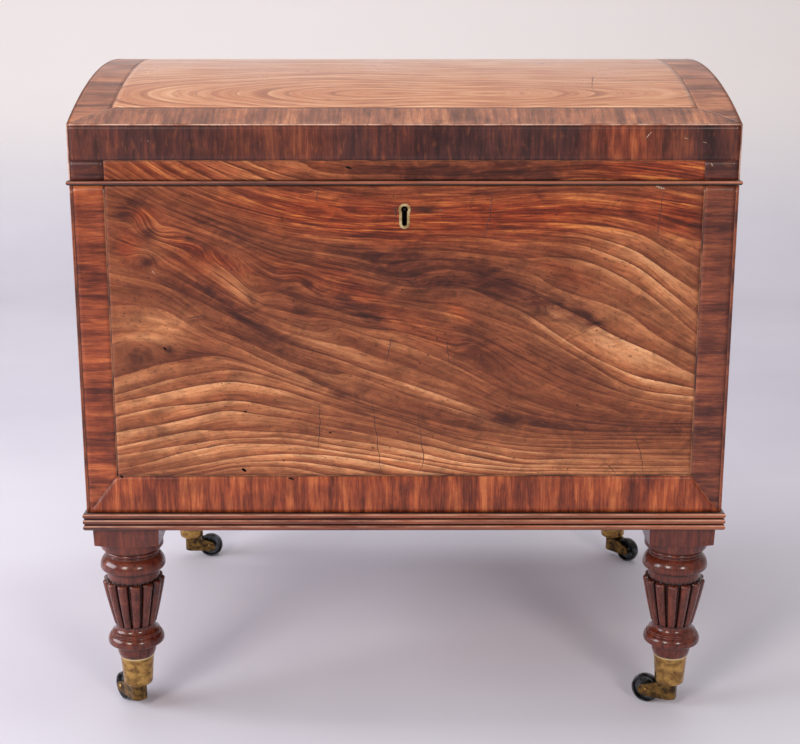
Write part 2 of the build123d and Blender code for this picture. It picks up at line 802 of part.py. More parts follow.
hinge_pins = []
for name, x in hinge_places.items():
    lower = hinge_leaf(x, below=True) - case_screw_holes[:len(hinge_screw_places)]
    upper = hinge_leaf(x, below=False) - lid_screw_holes[:len(hinge_screw_places)]
    parts[f"hinge_leaf_lower_{name}"] = lower
    parts[f"hinge_leaf_upper_{name}"] = upper
    pin = Cylinder(hinge_pin_radius, hinge_length)
    hinge_pins.append(Pos(x, hinge_y, hinge_z) * Rot(0, 90, 0) * pin)
parts["hinge_pins"] = Compound(hinge_pins)
parts["case_screws"] = Compound(case_screws)
parts["lid_screws"] = Compound(lid_screws)


# Lock: a brass box let into the front board, its selvedge flush with the rim
hook_places = [-hook_offset, hook_offset]
hook_bottom = lid_bottom - hook_length
eye_bottom = hook_bottom + hook_toe_height
finger_bottom = eye_bottom + (hook_eye_height - bolt_finger_height) / 2
bolt_top = hook_bottom - bolt_bar_drop
bolt_bottom = bolt_top - bolt_bar_height


def lock_box():
    """The lock's case: open slots above for the hooks and a keyhole in its outer plate."""
    half = lock_width / 2
    wall = lock_wall
    box = block_between((-half, lock_front, lock_bottom), (half, -inner_half_depth, case_top))
    box += block_between(
        (-selvedge_half, lock_front, case_top - lock_selvedge_thickness),
        (selvedge_half, -inner_half_depth, case_top),
    )
    box -= block_between(
        (-half + wall, lock_front + wall, lock_bottom + wall),
        (half - wall, -inner_half_depth - wall, case_top - lock_selvedge_thickness),
    )
    for x in hook_places:
        slot_half_x = hook_thickness / 2 + hook_clearance
        slot_half_y = hook_width / 2 + hook_clearance / 2
        box -= block_between(
            (x - slot_half_x, lock_centre_y - slot_half_y, case_top - lock_selvedge_thickness),
            (x + slot_half_x, lock_centre_y + slot_half_y, case_top),
        )
    for x in hook_places:
        box += block_between(
            (x - bolt_guide_width / 2, lock_front + wall, lock_bottom + wall),
            (x + bolt_guide_width / 2, -inner_half_depth - wall, bolt_bottom - bolt_guide_gap),
        )
    box -= cut_through_front(keyhole_outline(), case_board - lock_depth + wall)
    return box - case_screw_holes[-len(selvedge_screws):]


def lock_bolt():
    """A sliding bar with two posts, each with a finger that enters a hook's eye."""
    half = bolt_thickness / 2
    reach = hook_thickness / 2 + bolt_hook_gap
    finger_tip = -reach
    post_right = finger_tip - bolt_finger_length
    bar_left = hook_places[0] + post_right - bolt_post_width
    bar_right = hook_places[-1] + hook_thickness
    bolt = block_between(
        (bar_left, lock_centre_y - half, bolt_bottom), (bar_right, lock_centre_y + half, bolt_top)
    )
    for x in hook_places:
        bolt += block_between(
            (x + post_right - bolt_post_width, lock_centre_y - half, bolt_bottom),
            (x + post_right, lock_centre_y + half, finger_bottom + bolt_finger_height),
        )
        bolt += block_between(
            (x + post_right, lock_centre_y - half, finger_bottom),
            (x + finger_tip, lock_centre_y + half, finger_bottom + bolt_finger_height),
        )
    talon = Rot(90, 0, 0) * Cylinder(bolt_talon_radius, 2 * bolt_thickness)
    return bolt - Pos(0, lock_centre_y, bolt_bottom + bolt_talon_depth - bolt_talon_radius) * talon


def hook_tenon(x):
    """The tenon of a hook, riveted flush through the link plate."""
    return block_between(
        (x - hook_thickness / 2, lock_centre_y - hook_tenon_width / 2, lid_bottom),
        (x + hook_thickness / 2, lock_centre_y + hook_tenon_width / 2, lid_bottom + link_plate_thickness),
    )


def lock_hook(x):
    """A flat hook that hangs from the link plate into the lock, with an eye for the bolt's finger."""
    hook = hook_tenon(x) + block_between(
        (x - hook_thickness / 2, lock_centre_y - hook_width / 2, hook_bottom),
        (x + hook_thickness / 2, lock_centre_y + hook_width / 2, lid_bottom),
    )
    return hook - block_between(
        (x - hook_thickness, lock_centre_y - hook_eye_width / 2, eye_bottom),
        (x + hook_thickness, lock_centre_y + hook_eye_width / 2, eye_bottom + hook_eye_height),
    )


def lock_link_plate():
    """The plate screwed under the lid's front rail, pierced for the tenons of the two hooks."""
    half = link_plate_length / 2
    plate = block_between(
        (-half, link_plate_y - link_plate_width / 2, lid_bottom),
        (half, link_plate_y + link_plate_width / 2, lid_bottom + link_plate_thickness),
    )
    for x in hook_places:
        plate -= hook_tenon(x)
    return plate - lid_screw_holes[-len(link_screws):]


parts["lock_case"] = lock_box()
parts["lock_bolt"] = lock_bolt()
parts["lock_link_plate"] = lock_link_plate()
parts["lock_hooks"] = Compound([lock_hook(x) for x in hook_places])
key_pin = Rot(90, 0, 0) * Cylinder(key_pin_radius, key_pin_length)
pin_centre_y = -inner_half_depth - lock_wall - key_pin_length / 2
parts["lock_key_pin"] = Pos(0, pin_centre_y, key_pin_z) * key_pin
escutcheon = cut_through_front(keyhole_outline(escutcheon_margin), escutcheon_thickness, escutcheon_proud)
parts["keyhole_escutcheon"] = escutcheon - cut_through_front(keyhole_outline(), case_board)

os.makedirs("parts", exist_ok=True)
for name, shape in parts.items():
    export_step(shape, f"parts/{name}.step")
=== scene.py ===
import math
import bpy
import numpy as np
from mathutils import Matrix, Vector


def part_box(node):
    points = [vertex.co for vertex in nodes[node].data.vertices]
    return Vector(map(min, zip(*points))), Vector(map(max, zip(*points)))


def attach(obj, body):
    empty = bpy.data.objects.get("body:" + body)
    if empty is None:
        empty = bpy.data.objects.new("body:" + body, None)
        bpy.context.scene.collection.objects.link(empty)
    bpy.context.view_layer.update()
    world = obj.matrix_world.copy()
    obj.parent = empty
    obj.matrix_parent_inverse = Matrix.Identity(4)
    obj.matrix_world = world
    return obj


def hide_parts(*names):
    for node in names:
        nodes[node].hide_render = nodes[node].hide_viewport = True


# An antique mahogany cellarette: a veneered box for bottles with a domed lid, on four turned and
# reeded legs with brass cup castors. Sizes are in millimetres and are turned to metres in each mesh.
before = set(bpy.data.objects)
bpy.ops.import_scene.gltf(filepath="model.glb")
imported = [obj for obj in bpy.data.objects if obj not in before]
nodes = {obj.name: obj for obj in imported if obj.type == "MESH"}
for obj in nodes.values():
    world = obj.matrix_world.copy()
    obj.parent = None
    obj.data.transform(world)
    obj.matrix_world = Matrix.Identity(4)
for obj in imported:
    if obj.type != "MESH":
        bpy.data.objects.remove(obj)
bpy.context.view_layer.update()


# Carcass of the case and lid. The boards are plain straight-grained mahogany under the veneer: they
# show at the back, inside, and on the rims, where age and wax have turned them a dull red-brown.
def linear(colour):
    """A colour written as sRGB hex, as linear RGBA."""
    parts = [int(colour[i:i + 2], 16) / 255 for i in (1, 3, 5)]
    return [c / 12.92 if c <= 0.04045 else ((c + 0.055) / 1.055) ** 2.4 for c in parts] + [1.0]


def mm(node):
    """Lowest and highest corners of a CAD node in millimetres."""
    low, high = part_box(node)
    return np.array(low) * 1000, np.array(high) * 1000


def add(tree, kind, inputs=None, out=0, stops=(), **settings):
    """Adds a node with its settings and links, and gives back one of its outputs, or all of them.

    Inputs are {socket: an output, a number or an sRGB hex colour}. Stops fill a colour ramp.
    """
    node = tree.nodes.new("ShaderNode" + kind)
    for key, value in settings.items():
        setattr(node, key, value)
    for socket, value in (inputs or {}).items():
        if isinstance(value, bpy.types.NodeSocket):
            tree.links.new(value, node.inputs[socket])
        else:
            node.inputs[socket].default_value = linear(value) if isinstance(value, str) else value
    for spare in range(len(stops) - 2):
        node.color_ramp.elements.new(1.0)
    for n, (place, colour) in enumerate(stops):
        node.color_ramp.elements[n].position = place
        node.color_ramp.elements[n].color = linear(colour)
    return node.outputs if out is None else node.outputs[out]


mix_colours = {"out": 2, "data_type": "RGBA"}  # what a Mix node needs to mix colours


def new_material(name):
    """An empty node material, its node tree, and the place in the piece's own space."""
    material = bpy.data.materials.new(name)
    material.use_nodes = True
    tree = material.node_tree
    tree.nodes.clear()
    return material, tree, add(tree, "TexCoord", out=3)


def surface(tree, inputs):
    """Closes a material: its Principled shader with these inputs, wired to the output."""
    add(tree, "OutputMaterial", {0: add(tree, "BsdfPrincipled", inputs)}, out=None)


def grain(tree, place, size, detail=3, roughness=0.55, warp=0.0):
    """Streaks or mottling about 0.5; size is a grain's in millimetres, for all axes or for each."""
    stretched = add(tree, "Mapping", {0: place, 3: [1000 / length for length in np.broadcast_to(size, 3)]})
    return add(tree, "TexNoise", {
        "Vector": stretched, "Scale": 1.0, "Detail": detail, "Roughness": roughness, "Distortion": warp,
    })


def stain(tree, colour, texture, start, end, most, over, **settings):
    """A colour covered by another one as a texture goes from start to end, and the share covered."""
    share = add(tree, "MapRange", {0: texture, 1: start, 2: end, 4: most}, **settings)
    return add(tree, "Mix", {0: share, 6: colour, 7: over}, **mix_colours), share


def polish(tree, colour, relief, depth, wax, waxed, dry, coat, level=0.4):
    """Gives a wood its colour, its relief in millimetres, and a sheen from waxed to dry."""
    sheen = add(tree, "MapRange", {0: wax, 1: 0.3, 2: 0.7, 3: waxed, 4: dry})
    bump = add(tree, "Bump", {"Strength": 0.6, "Distance": depth / 1000, "Height": relief})
    surface(tree, {"Base Color": colour, "Roughness": sheen, "Normal": bump, "IOR": 1.5,
                   "Specular IOR Level": level, "Coat Weight": coat, "Coat Roughness": 0.1})


def lengthwise(axis, along, across):
    """The size of a grain that runs along one axis, for each of the three."""
    return [along if i == axis else across for i in range(3)]


def plain_mahogany(name, axis, light, middle, dark, coat):
    """Straight-grained solid mahogany: long fibres along one axis, pores, and dull darker patches."""
    material, tree, place = new_material(name)
    fibres = grain(tree, place, lengthwise(axis, 260.0, 2.2))
    bands = grain(tree, place, lengthwise(axis, 260.0, 16.0), warp=0.4)
    pores = grain(tree, place, lengthwise(axis, 9.0, 0.7), detail=1)
    stains = grain(tree, place, 70.0)
    figure = add(tree, "Mix", {0: 0.5, 2: fibres, 3: bands})
    colour = add(tree, "ValToRGB", {0: figure}, stops=((0.38, dark), (0.5, middle), (0.62, light)))
    colour = stain(tree, colour, stains, 0.5, 0.8, 0.5, dark)[0]
    colour, pore = stain(tree, colour, pores, 0.62, 0.72, 0.5, "#2a1512")
    relief = add(tree, "Math", {0: fibres, 1: pore}, operation="SUBTRACT")
    polish(tree, colour, relief, 0.15, stains, 0.36, 0.54, coat)
    return material


def dress(names, material):
    """Gives CAD nodes their finish in place of the plain one they load with."""
    for name in names:
        nodes[name].data.materials.clear()
        nodes[name].data.materials.append(material)


oiled = ("#8c4e36", "#713b29", "#54291f", 0.1)
dress(("front_board", "back_board", "bottom_board", "lid_front_rail", "lid_back_rail",
       "lid_stave_front", "lid_stave_middle", "lid_stave_rear"),
      plain_mahogany("oiled_mahogany_across", 0, *oiled))
dress(("left_side_board", "right_side_board", "lid_left_end", "lid_right_end"),
      plain_mahogany("oiled_mahogany_fore_and_aft", 1, *oiled))

# Veneers. Saw-cut mahogany sheets about 1.5 mm thick, glued over the boards: a figured panel cut near
# a crotch, its growth lines sweeping down to the right, framed by bands laid with the grain crosswise.
case_low, case_high = mm("front_board")
half_width = case_high[0]
half_depth = -case_low[1]
case_top = case_high[2]
veneer_top = case_top - 0.1
case_foot = mm("plinth_moulding_front")[1][2]
bead_top = mm("cock_bead_front")[1][2]
lid_edge = 660.0
dome_radius = 785.0
dome_centre = lid_edge + 49.0 - dome_radius
edging = 3.4
joint = 0.6
edge_inset = 0.9  # the sheets end this far inside the rounded edges of the box
band_width = 35.5
bottom_band_top = 289.5
panel_columns = 205
lid_band_foot = 624.0
veneer_proud = 0.25
veneer_thickness = 0.8
both_ends = (("left", -1), ("right", 1))


def sheet(name, spots, quads, material):
    """A smooth object from spots in millimetres and the quads between them."""
    mesh = bpy.data.meshes.new(name)
    mesh.from_pydata((spots.reshape(-1, 3) / 1000).tolist(), [], quads.tolist())
    mesh.polygons.foreach_set("use_smooth", [True] * len(mesh.polygons))
    mesh.materials.append(material)
    piece = bpy.data.objects.new(name, mesh)
    bpy.context.scene.collection.objects.link(piece)
    return piece


def veneer(name, body, spots, lay, material, tone=(0, 0, 0), keep=None):
    """One veneer over a grid of spots (rows, columns, xyz).

    Each corner of the grid is joined to its next neighbours, and the sheet is given its thickness
    inwards. Lay is the place along and across the grain, tone is (dark heart, pale, orange), and
    keep picks the cells that stay, by their middles.
    """
    rows, columns = spots.shape[:2]
    number = np.arange(rows * columns).reshape(rows, columns)
    quads = np.stack([number[:-1, :-1], number[:-1, 1:], number[1:, 1:], number[1:, :-1]], -1)
    quads = quads.reshape(-1, 4)
    if keep is not None:
        quads = quads[keep(spots.reshape(-1, 3)[quads].mean(axis=1))]
    piece = sheet(name, spots, quads, material)
    layer = piece.data.uv_layers.new(name="lay")
    layer.data.foreach_set("uv", (lay.reshape(-1, 2)[quads.reshape(-1)] / 1000).ravel())
    tones = np.broadcast_to(np.array(tone, float), spots.shape).reshape(-1, 3)
    tones = np.concatenate([tones, np.ones((rows * columns, 1))], axis=1)
    colours = piece.data.color_attributes.new("tone", "FLOAT_COLOR", "POINT")
    colours.data.foreach_set("color", tones.ravel())
    wall = piece.modifiers.new("sheet", "SOLIDIFY")
    wall.thickness = veneer_thickness / 1000
    wall.offset = -1
    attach(piece, body)


# The flat faces and the dome as maps from (along, up) in the face's own plane to (x, y, z)
def on_front(a, b, lift=0.0):
    return np.stack([a, np.full_like(a, -half_depth - veneer_proud - lift), b], -1)


def on_left(a, b, lift=0.0):
    return np.stack([np.full_like(a, -half_width - veneer_proud - lift), -a, b], -1)


def on_right(a, b, lift=0.0):
    return np.stack([np.full_like(a, half_width + veneer_proud + lift), a, b], -1)


def on_dome(a, b, lift=0.0):
    """b is the length of arc from the dome's crest, positive to the back."""
    reach = dome_radius + veneer_proud + lift
    turn = b / dome_radius
    return np.stack([a, reach * np.sin(turn), dome_centre + reach * np.cos(turn)], -1)


def four_sided(corners, step):
    """A grid between four corners in order, straight-sided, with cells about `step` wide."""
    p, q, r, s = [np.array(c, float) for c in corners]
    columns = max(2, int(max(np.linalg.norm(q - p), np.linalg.norm(r - s)) / step) + 1)
    rows = max(2, int(max(np.linalg.norm(s - p), np.linalg.norm(r - q)) / step) + 1)
    u = np.linspace(0, 1, columns)[None, :, None]
    v = np.linspace(0, 1, rows)[:, None, None]
    grid = (p * (1 - u) + q * u) * (1 - v) + (s * (1 - u) + r * u) * v
    return grid[..., 0], grid[..., 1]


def strip(name, body, face, corners, step, material, flat=False, shift=0.0, tone=(0, 0, 0)):
    """A straight-sided veneer between four corners of a face, its grain upright or flat.

    Its cells are about `step` wide. Shift is the place in the wood that it's cut from.
    """
    a, b = four_sided(corners, step)
    along, across = (a, b) if flat else (b, a)
    veneer(name, body, face(a, b), np.stack([along, across + shift], -1), material, tone)


def mitred(outer, inner):
    """Corners of the strips at the left, right, foot and top between two rectangles.

    Each rectangle is (half width, foot, top), and the strips meet in mitres.
    """
    (u, foot, top), (v, low, high) = outer, inner
    return (
        ((-u, foot), (-v, low), (-v, high), (-u, top)), ((v, low), (u, foot), (u, top), (v, high)),
        ((-u, foot), (u, foot), (v, low), (-v, low)), ((-v, high), (v, high), (u, top), (-u, top)),
    )


# Growth lines of the figured panel: each line's depth below the case's top, at even stations across
growth_lines = (
    (-60, (-170, -110, -80, -58, -48, -44, -45, -48, -52, -48, -40)),
    (0, (-92, -39, -10, 10, 19, 22, 21, 17, 14, 20, 31)),
    (34, (-39, 5, 29, 43, 50, 53, 54, 56, 60, 82, 138)),
    (80, (3, 30, 56, 86, 99, 106, 112, 132, 172, 206, 219)),
    (124, (40, 67, 109, 138, 153, 164, 191, 227, 244, 250, 251)),
    (160, (119, 125, 162, 192, 213, 238, 255, 265, 267, 267, 267)),
    (184, (214, 198, 189, 208, 229, 247, 268, 276, 277, 277, 277)),
    (210, (257, 243, 229, 233, 247, 261, 280, 291, 295, 297, 297)),
    (256, (314, 303, 289, 288, 297, 306, 314, 318, 319, 320, 320)),
    (330, (390, 380, 366, 364, 372, 380, 388, 392, 393, 394, 394)),
)
ring_numbers = np.array([line[0] for line in growth_lines], float)
panel_half = half_width - band_width
stations = np.linspace(-panel_half, panel_half, len(growth_lines[0][1]))
fine_stations = np.linspace(-panel_half, panel_half, 204)
rounding = np.exp(-np.linspace(-2.5, 2.5, 31) ** 2)
rounding /= rounding.sum()


def rounded(heights):
    """One growth line through its stations, its corners rounded by a running mean."""
    line = np.interp(fine_stations, stations, heights)
    padded = np.pad(line, len(rounding) // 2, mode="reflect", reflect_type="odd")
    return np.convolve(padded, rounding, mode="valid")


ring_lines = np.array([rounded(line[1]) for line in growth_lines])
# Ring numbers are averaged over this depth, so that no kink shows at a growth line
blur_reach = np.linspace(-10, 10, 9)
blur_weights = np.exp(-np.linspace(-2, 2, 9) ** 2)
blur_weights /= blur_weights.sum()


def clouds(across, depth, spots):
    """Soft patches, each (across, depth, half length, half height, tilt in degrees, strength)."""
    total = np.zeros_like(across)
    for x, y, length, height, tilt, strength in spots:
        angle = math.radians(tilt)
        dx = across + panel_half - x
        dy = depth - y
        along = (dx * math.cos(angle) + dy * math.sin(angle)) / length
        over = (dy * math.cos(angle) - dx * math.sin(angle)) / height
        total += strength * np.exp(-along ** 2 - over ** 2)
    return total


# Eyes: places where a twig or a burr bends the rings into small closed curls; strength in millimetres
curls = (
    (26, 30, 15, 12, 20, 12), (52, 46, 16, 10, 25, -10), (36, 75, 14, 8, 0, 9), (92, 62, 20, 9, 20, 9),
    (148, 108, 26, 11, 45, -10), (24, 168, 26, 11, 0, 6), (128, 70, 30, 9, 30, 7), (196, 96, 18, 14, 30, 8),
    (300, 95, 40, 16, 20, -8), (238, 150, 30, 10, 30, 6), (386, 172, 34, 11, 34, 7),
    (95, 140, 40, 12, 40, -6),
)


def ring_number(across, depth):
    """Which growth ring lies at a spot: rings are even between neighbouring growth lines."""
    spot = (across + panel_half) / (2 * panel_half) * (len(fine_stations) - 1)
    spot = np.clip(spot, 0, len(fine_stations) - 1.001)
    low = spot.astype(int)
    part = spot - low
    total = np.zeros_like(depth)
    heights = ring_lines[:, low] * (1 - part) + ring_lines[:, low + 1] * part
    for shift, weight in zip(blur_reach, blur_weights):
        below = np.clip((heights <= depth + shift).sum(axis=0) - 1, 0, len(growth_lines) - 2)
        first = np.take_along_axis(heights, below[None], 0)[0]
        second = np.take_along_axis(heights, below[None] + 1, 0)[0]
        share = (depth + shift - first) / (second - first)
        total += weight * (ring_numbers[below] + share * (ring_numbers[below + 1] - ring_numbers[below]))
    return total + clouds(across, depth, curls)


# The figured panel's clouds of colour, measured across and down from its upper left corner
dark_clouds = (
    (320, 88, 75, 24, 10, 1.0), (300, 76, 40, 12, 8, 0.5), (440, 118, 75, 16, 27, 0.95),
    (492, 137, 25, 9, 27, 0.6), (123, 47, 62, 10, 24, 0.9), (18, 28, 9, 11, 0, 1.0),
    (31, 17, 15, 7, 10, 0.9), (41, 49, 11, 6, 0, 0.8), (40, 79, 9, 5, 0, 1.0), (83, 53, 6, 6, 0, 0.8),
    (97, 62, 17, 11, 20, 0.7), (170, 88, 11, 7, 30, 0.7), (192, 119, 24, 12, 68, 0.7),
    (206, 100, 8, 9, 0, 0.6), (146, 118, 15, 3, 56, 0.9), (59, 172, 3, 3, 0, 1.5),
    (90, 139, 12, 2, -14, 0.9), (256, 128, 34, 8, 30, 0.6), (115, 120, 60, 9, 42, 0.75),
    (165, 150, 60, 8, 35, 0.6), (235, 218, 28, 6, 20, 0.8), (30, 183, 16, 10, 0, 0.6),
    (40, 261, 20, 9, 10, 0.5), (450, 250, 170, 9, 4, 0.75), (595, 253, 25, 6, 0, 0.7),
    (380, 171, 32, 20, 30, 0.6), (250, 120, 60, 18, 25, 0.5), (325, 25, 16, 5, 5, 1.0),
    (290, 26, 12, 12, 0, 0.35), (560, 125, 40, 6, 38, 0.4), (480, 190, 60, 10, 25, 0.4),
    (200, 185, 50, 8, 28, 0.45), (70, 110, 30, 12, 50, 0.4), (610, 40, 10, 40, 0, 0.5),
)
pale_clouds = (
    (545, 88, 65, 36, 38, 1.0), (530, 171, 90, 26, 27, 1.0), (462, 150, 28, 12, 38, 0.5),
    (300, 161, 60, 11, 24, 0.5), (90, 228, 130, 34, -6, 0.9), (300, 292, 360, 22, 3, 1.0),
    (40, 151, 35, 18, 0, 0.6), (65, 51, 30, 10, 20, 0.4), (370, 240, 45, 6, 25, 0.5),
    (580, 215, 50, 14, 12, 0.6), (330, 215, 60, 8, 22, 0.35), (135, 109, 18, 8, 40, 0.6),
    (116, 90, 14, 6, 30, 0.5), (50, 63, 16, 9, 0, 0.5), (55, 150, 26, 14, 0, 0.5),
    (240, 176, 60, 9, 26, 0.4),
)
orange_clouds = (
    (425, 30, 200, 26, 0, 1.0), (225, 30, 110, 22, 12, 0.75), (360, 131, 16, 6, 35, 0.7),
    (290, 140, 90, 18, 22, 0.4), (65, 51, 40, 20, 20, 0.5), (180, 84, 40, 10, 25, 0.5),
    (590, 30, 40, 24, 20, 0.5), (95, 90, 40, 20, 30, 0.35), (470, 90, 30, 8, 25, 0.4),
    (39, 29, 14, 8, 0, 0.7), (20, 62, 12, 16, 0, 0.7), (110, 74, 40, 7, 25, 0.7),
    (234, 90, 26, 11, 15, 0.6), (258, 112, 30, 12, 20, 0.6),
)


def rise_through(tree, length, pitch, start):
    """How far a length in metres has risen through its repeat of `pitch` millimetres, from 0 to 1."""
    turns = add(tree, "Math", {0: length, 1: 1000 / pitch, 2: start}, operation="MULTIPLY_ADD")
    return add(tree, "Math", {0: turns}, operation="FRACT")


def coloured(tree, figure, coats):
    """Colours that follow one figure: each coat is (share, ramp stops) and covers the ones before."""
    colour = None
    for share, stops in coats:
        coat = add(tree, "ValToRGB", {0: figure}, stops=stops)
        if colour is not None:
            coat = add(tree, "Mix", {0: share, 6: colour, 7: coat}, **mix_colours)
        colour = coat
    return colour


def figured_mahogany():
    """French-polished crotch mahogany: rings about 10 mm apart that darken to a thin line and begin
    again pale, and bundles of fibres in four shades, drawn three times too coarse so that they show.
    """
    material, tree, place = new_material("figured_mahogany_french_polished")
    lay = add(tree, "UVMap", uv_map="lay")
    ring = add(tree, "SeparateXYZ", {0: lay}, out=1)
    tone = add(tree, "Attribute", attribute_name="tone")
    dark, pale, orange = add(tree, "SeparateColor", {0: tone}, out=None)[:3]
    drift = grain(tree, lay, (400.0, 40.0, 1.0), detail=2)
    wander = grain(tree, lay, (150.0, 12.0, 1.0), detail=1)
    wander = add(tree, "Math", {0: drift, 1: 4.0, 2: wander}, operation="MULTIPLY_ADD")
    rise = rise_through(tree, ring, 10.0, wander)
    paleness = add(tree, "Math", {0: 0.5, 1: rise}, operation="SUBTRACT")
    ring_share = add(tree, "MapRange", {0: pale, 3: 0.08, 4: 0.26})
    ringed = add(tree, "Math", {0: paleness, 1: ring_share, 2: 0.5}, operation="MULTIPLY_ADD")
    bundles = grain(tree, lay, (130.0, 6.0, 1.0), detail=4, roughness=0.6, warp=0.3)
    fibres = grain(tree, lay, (30.0, 1.5, 1.0))
    streak = add(tree, "Mix", {0: 0.45, 2: bundles, 3: fibres})
    streak = add(tree, "Math", {0: streak, 1: 0.5}, operation="SUBTRACT")
    streakiness = add(tree, "MapRange", {0: orange, 3: 0.5, 4: 1.0})
    figure = add(tree, "Math", {0: streak, 1: streakiness, 2: ringed}, operation="MULTIPLY_ADD")
    mottle = grain(tree, place, (30.0, 30.0, 15.0), detail=5, roughness=0.62, warp=1.2)
    broken = grain(tree, lay, (60.0, 11.0, 1.0), detail=4)
    tan_share = add(tree, "MapRange", {0: broken, 1: 0.3, 2: 0.5, 3: 0.65, 4: 1.1})
    tan_share = add(tree, "Math", {0: tan_share, 1: pale}, operation="MULTIPLY", use_clamp=True)
    cloudy = add(tree, "Mix", {0: 0.5, 2: broken, 3: mottle})
    heart_share = add(tree, "MapRange", {0: cloudy, 1: 0.40, 2: 0.60, 3: 1.35, 4: 0.5})
    heart_share = add(tree, "Math", {0: heart_share, 1: dark}, operation="MULTIPLY", use_clamp=True)
    colour = coloured(tree, figure, (  # red-brown, then tan, fiery and dark heart
        (1.0, ((0.38, "#4c2013"), (0.47, "#6c3620"), (0.54, "#84492c"), (0.64, "#a8653e"))),
        (tan_share, ((0.36, "#743920"), (0.46, "#9f5d39"), (0.56, "#c38357"), (0.68, "#dca87a"))),
        (orange, ((0.38, "#4c190b"), (0.47, "#752a13"), (0.54, "#95411e"), (0.66, "#cb7a39"))),
        (heart_share, ((0.38, "#260f09"), (0.47, "#421c12"), (0.55, "#5c2b1c"), (0.66, "#804229"))),
    ))
    fade = grain(tree, lay, (110.0, 16.0, 1.0), detail=2)
    bold = add(tree, "MapRange", {0: fade, 1: 0.38, 2: 0.62, 3: 0.1, 4: 0.75})
    edge = add(tree, "MapRange", {0: rise, 1: 0.84, 2: 0.98})
    line = add(tree, "Math", {0: edge, 1: bold}, operation="MULTIPLY")
    line_share = add(tree, "MapRange", {0: pale, 3: 0.25, 4: 1.3})
    line_share = add(tree, "Math", {0: line, 1: line_share}, operation="MULTIPLY", use_clamp=True)
    colour = add(tree, "Mix", {0: line_share, 6: colour, 7: "#4e2313"}, **mix_colours)
    shade = add(tree, "MapRange", {0: mottle, 1: 0.3, 2: 0.7, 3: 0.66, 4: 1.36})
    colour = add(tree, "Mix", {0: 1.0, 6: colour, 7: shade}, blend_type="MULTIPLY", **mix_colours)
    pores = grain(tree, lay, (6.0, 1.2, 1.0), detail=2)
    colour = stain(tree, colour, pores, 0.57, 0.70, 0.5, "#34160e")[0]
    dents = grain(tree, place, (4.5, 4.5, 2.6), detail=1)
    colour, dent = stain(tree, colour, dents, 0.73, 0.78, 0.75, "#241110")
    wax = grain(tree, place, 60.0)
    relief = add(tree, "Math", {0: fibres, 1: dent}, operation="SUBTRACT")
    polish(tree, colour, relief, 0.07, wax, 0.30, 0.46, 0.12, 0.25)
    return material


def crossbanded_mahogany():
    """Straight-grained mahogany laid crosswise: short stripes, in blocks of red, tan and grey-brown."""
    material, tree, place = new_material("crossbanded_mahogany_french_polished")
    lay = add(tree, "UVMap", uv_map="lay")
    tone = add(tree, "Attribute", attribute_name="tone")
    dark, pale, orange = add(tree, "SeparateColor", {0: tone}, out=None)[:3]
    blocks = grain(tree, lay, (120.0, 26.0, 1.0), detail=2, warp=0.5)
    stripes = grain(tree, lay, (60.0, 5.0, 1.0), detail=4, roughness=0.6, warp=0.3)
    hairs = grain(tree, lay, (14.0, 1.2, 1.0), detail=2)
    striped = add(tree, "Mix", {0: 0.5, 2: stripes, 3: blocks})
    figure = add(tree, "Mix", {0: 0.18, 2: striped, 3: hairs})
    colour = coloured(tree, figure, (  # red-brown, then tan, fiery and dark heart
        (1.0, ((0.40, "#481b0f"), (0.48, "#73341e"), (0.54, "#8f4629"), (0.62, "#b06237"))),
        (pale, ((0.40, "#6c4638"), (0.48, "#8a5c49"), (0.54, "#a36c50"), (0.62, "#bd8562"))),
        (orange, ((0.40, "#56200f"), (0.48, "#7b3219"), (0.54, "#9a4622"), (0.62, "#b9663a"))),
        (dark, ((0.38, "#2a1211"), (0.48, "#40201d"), (0.55, "#502721"), (0.64, "#683322"))),
    ))
    flecks = grain(tree, lay, (14.0, 5.0, 1.0))
    colour = stain(tree, colour, flecks, 0.56, 0.74, 0.22, "#b0612f")[0]
    mottle = grain(tree, place, (24.0, 24.0, 20.0), detail=4, warp=0.6)
    shade = add(tree, "MapRange", {0: mottle, 1: 0.3, 2: 0.7, 3: 0.76, 4: 1.22})
    colour = add(tree, "Mix", {0: 1.0, 6: colour, 7: shade}, blend_type="MULTIPLY", **mix_colours)
    pores = grain(tree, lay, (6.0, 0.8, 1.0), detail=1)
    colour, pore = stain(tree, colour, pores, 0.63, 0.73, 0.45, "#2c1210")
    wax = grain(tree, place, 50.0)
    relief = add(tree, "Math", {0: stripes, 1: pore}, operation="SUBTRACT")
    polish(tree, colour, relief, 0.07, wax, 0.28, 0.44, 0.15, 0.3)
    return material


def sliver(name, colour, dark, spot="#2a1510"):
    """A sliver of straight-grained wood a millimetre wide, stained by old wax along its joints."""
    material, tree, place = new_material(name)
    worn = grain(tree, place, 26.0)
    flecks = grain(tree, place, 3.0, detail=2)
    mixed = add(tree, "ValToRGB", {0: worn}, stops=((0.42, colour), (0.62, dark)))
    mixed = stain(tree, mixed, flecks, 0.52, 0.72, 0.6, spot)[0]
    polish(tree, mixed, flecks, 0.05, worn, 0.30, 0.45, 0.2)
    return material


figured = figured_mahogany()
crossbanded = crossbanded_mahogany()
stringing = sliver("mahogany_stringing_worn", "#84502f", "#3a1d12")
joint_dirt = sliver("dark_wax_in_joint", "#26120e", "#3d1f16")
# Pale wood on the lid's front corners and top front edge: partly wear, partly a painted highlight.
worn_edge_and_highlight = sliver("mahogany_edge_rubbed_bright", "#c39a86", "#8d5a47", "#4a241b")
corner_wood = sliver("mahogany_edge_worn", "#8c4a2e", "#55281c")


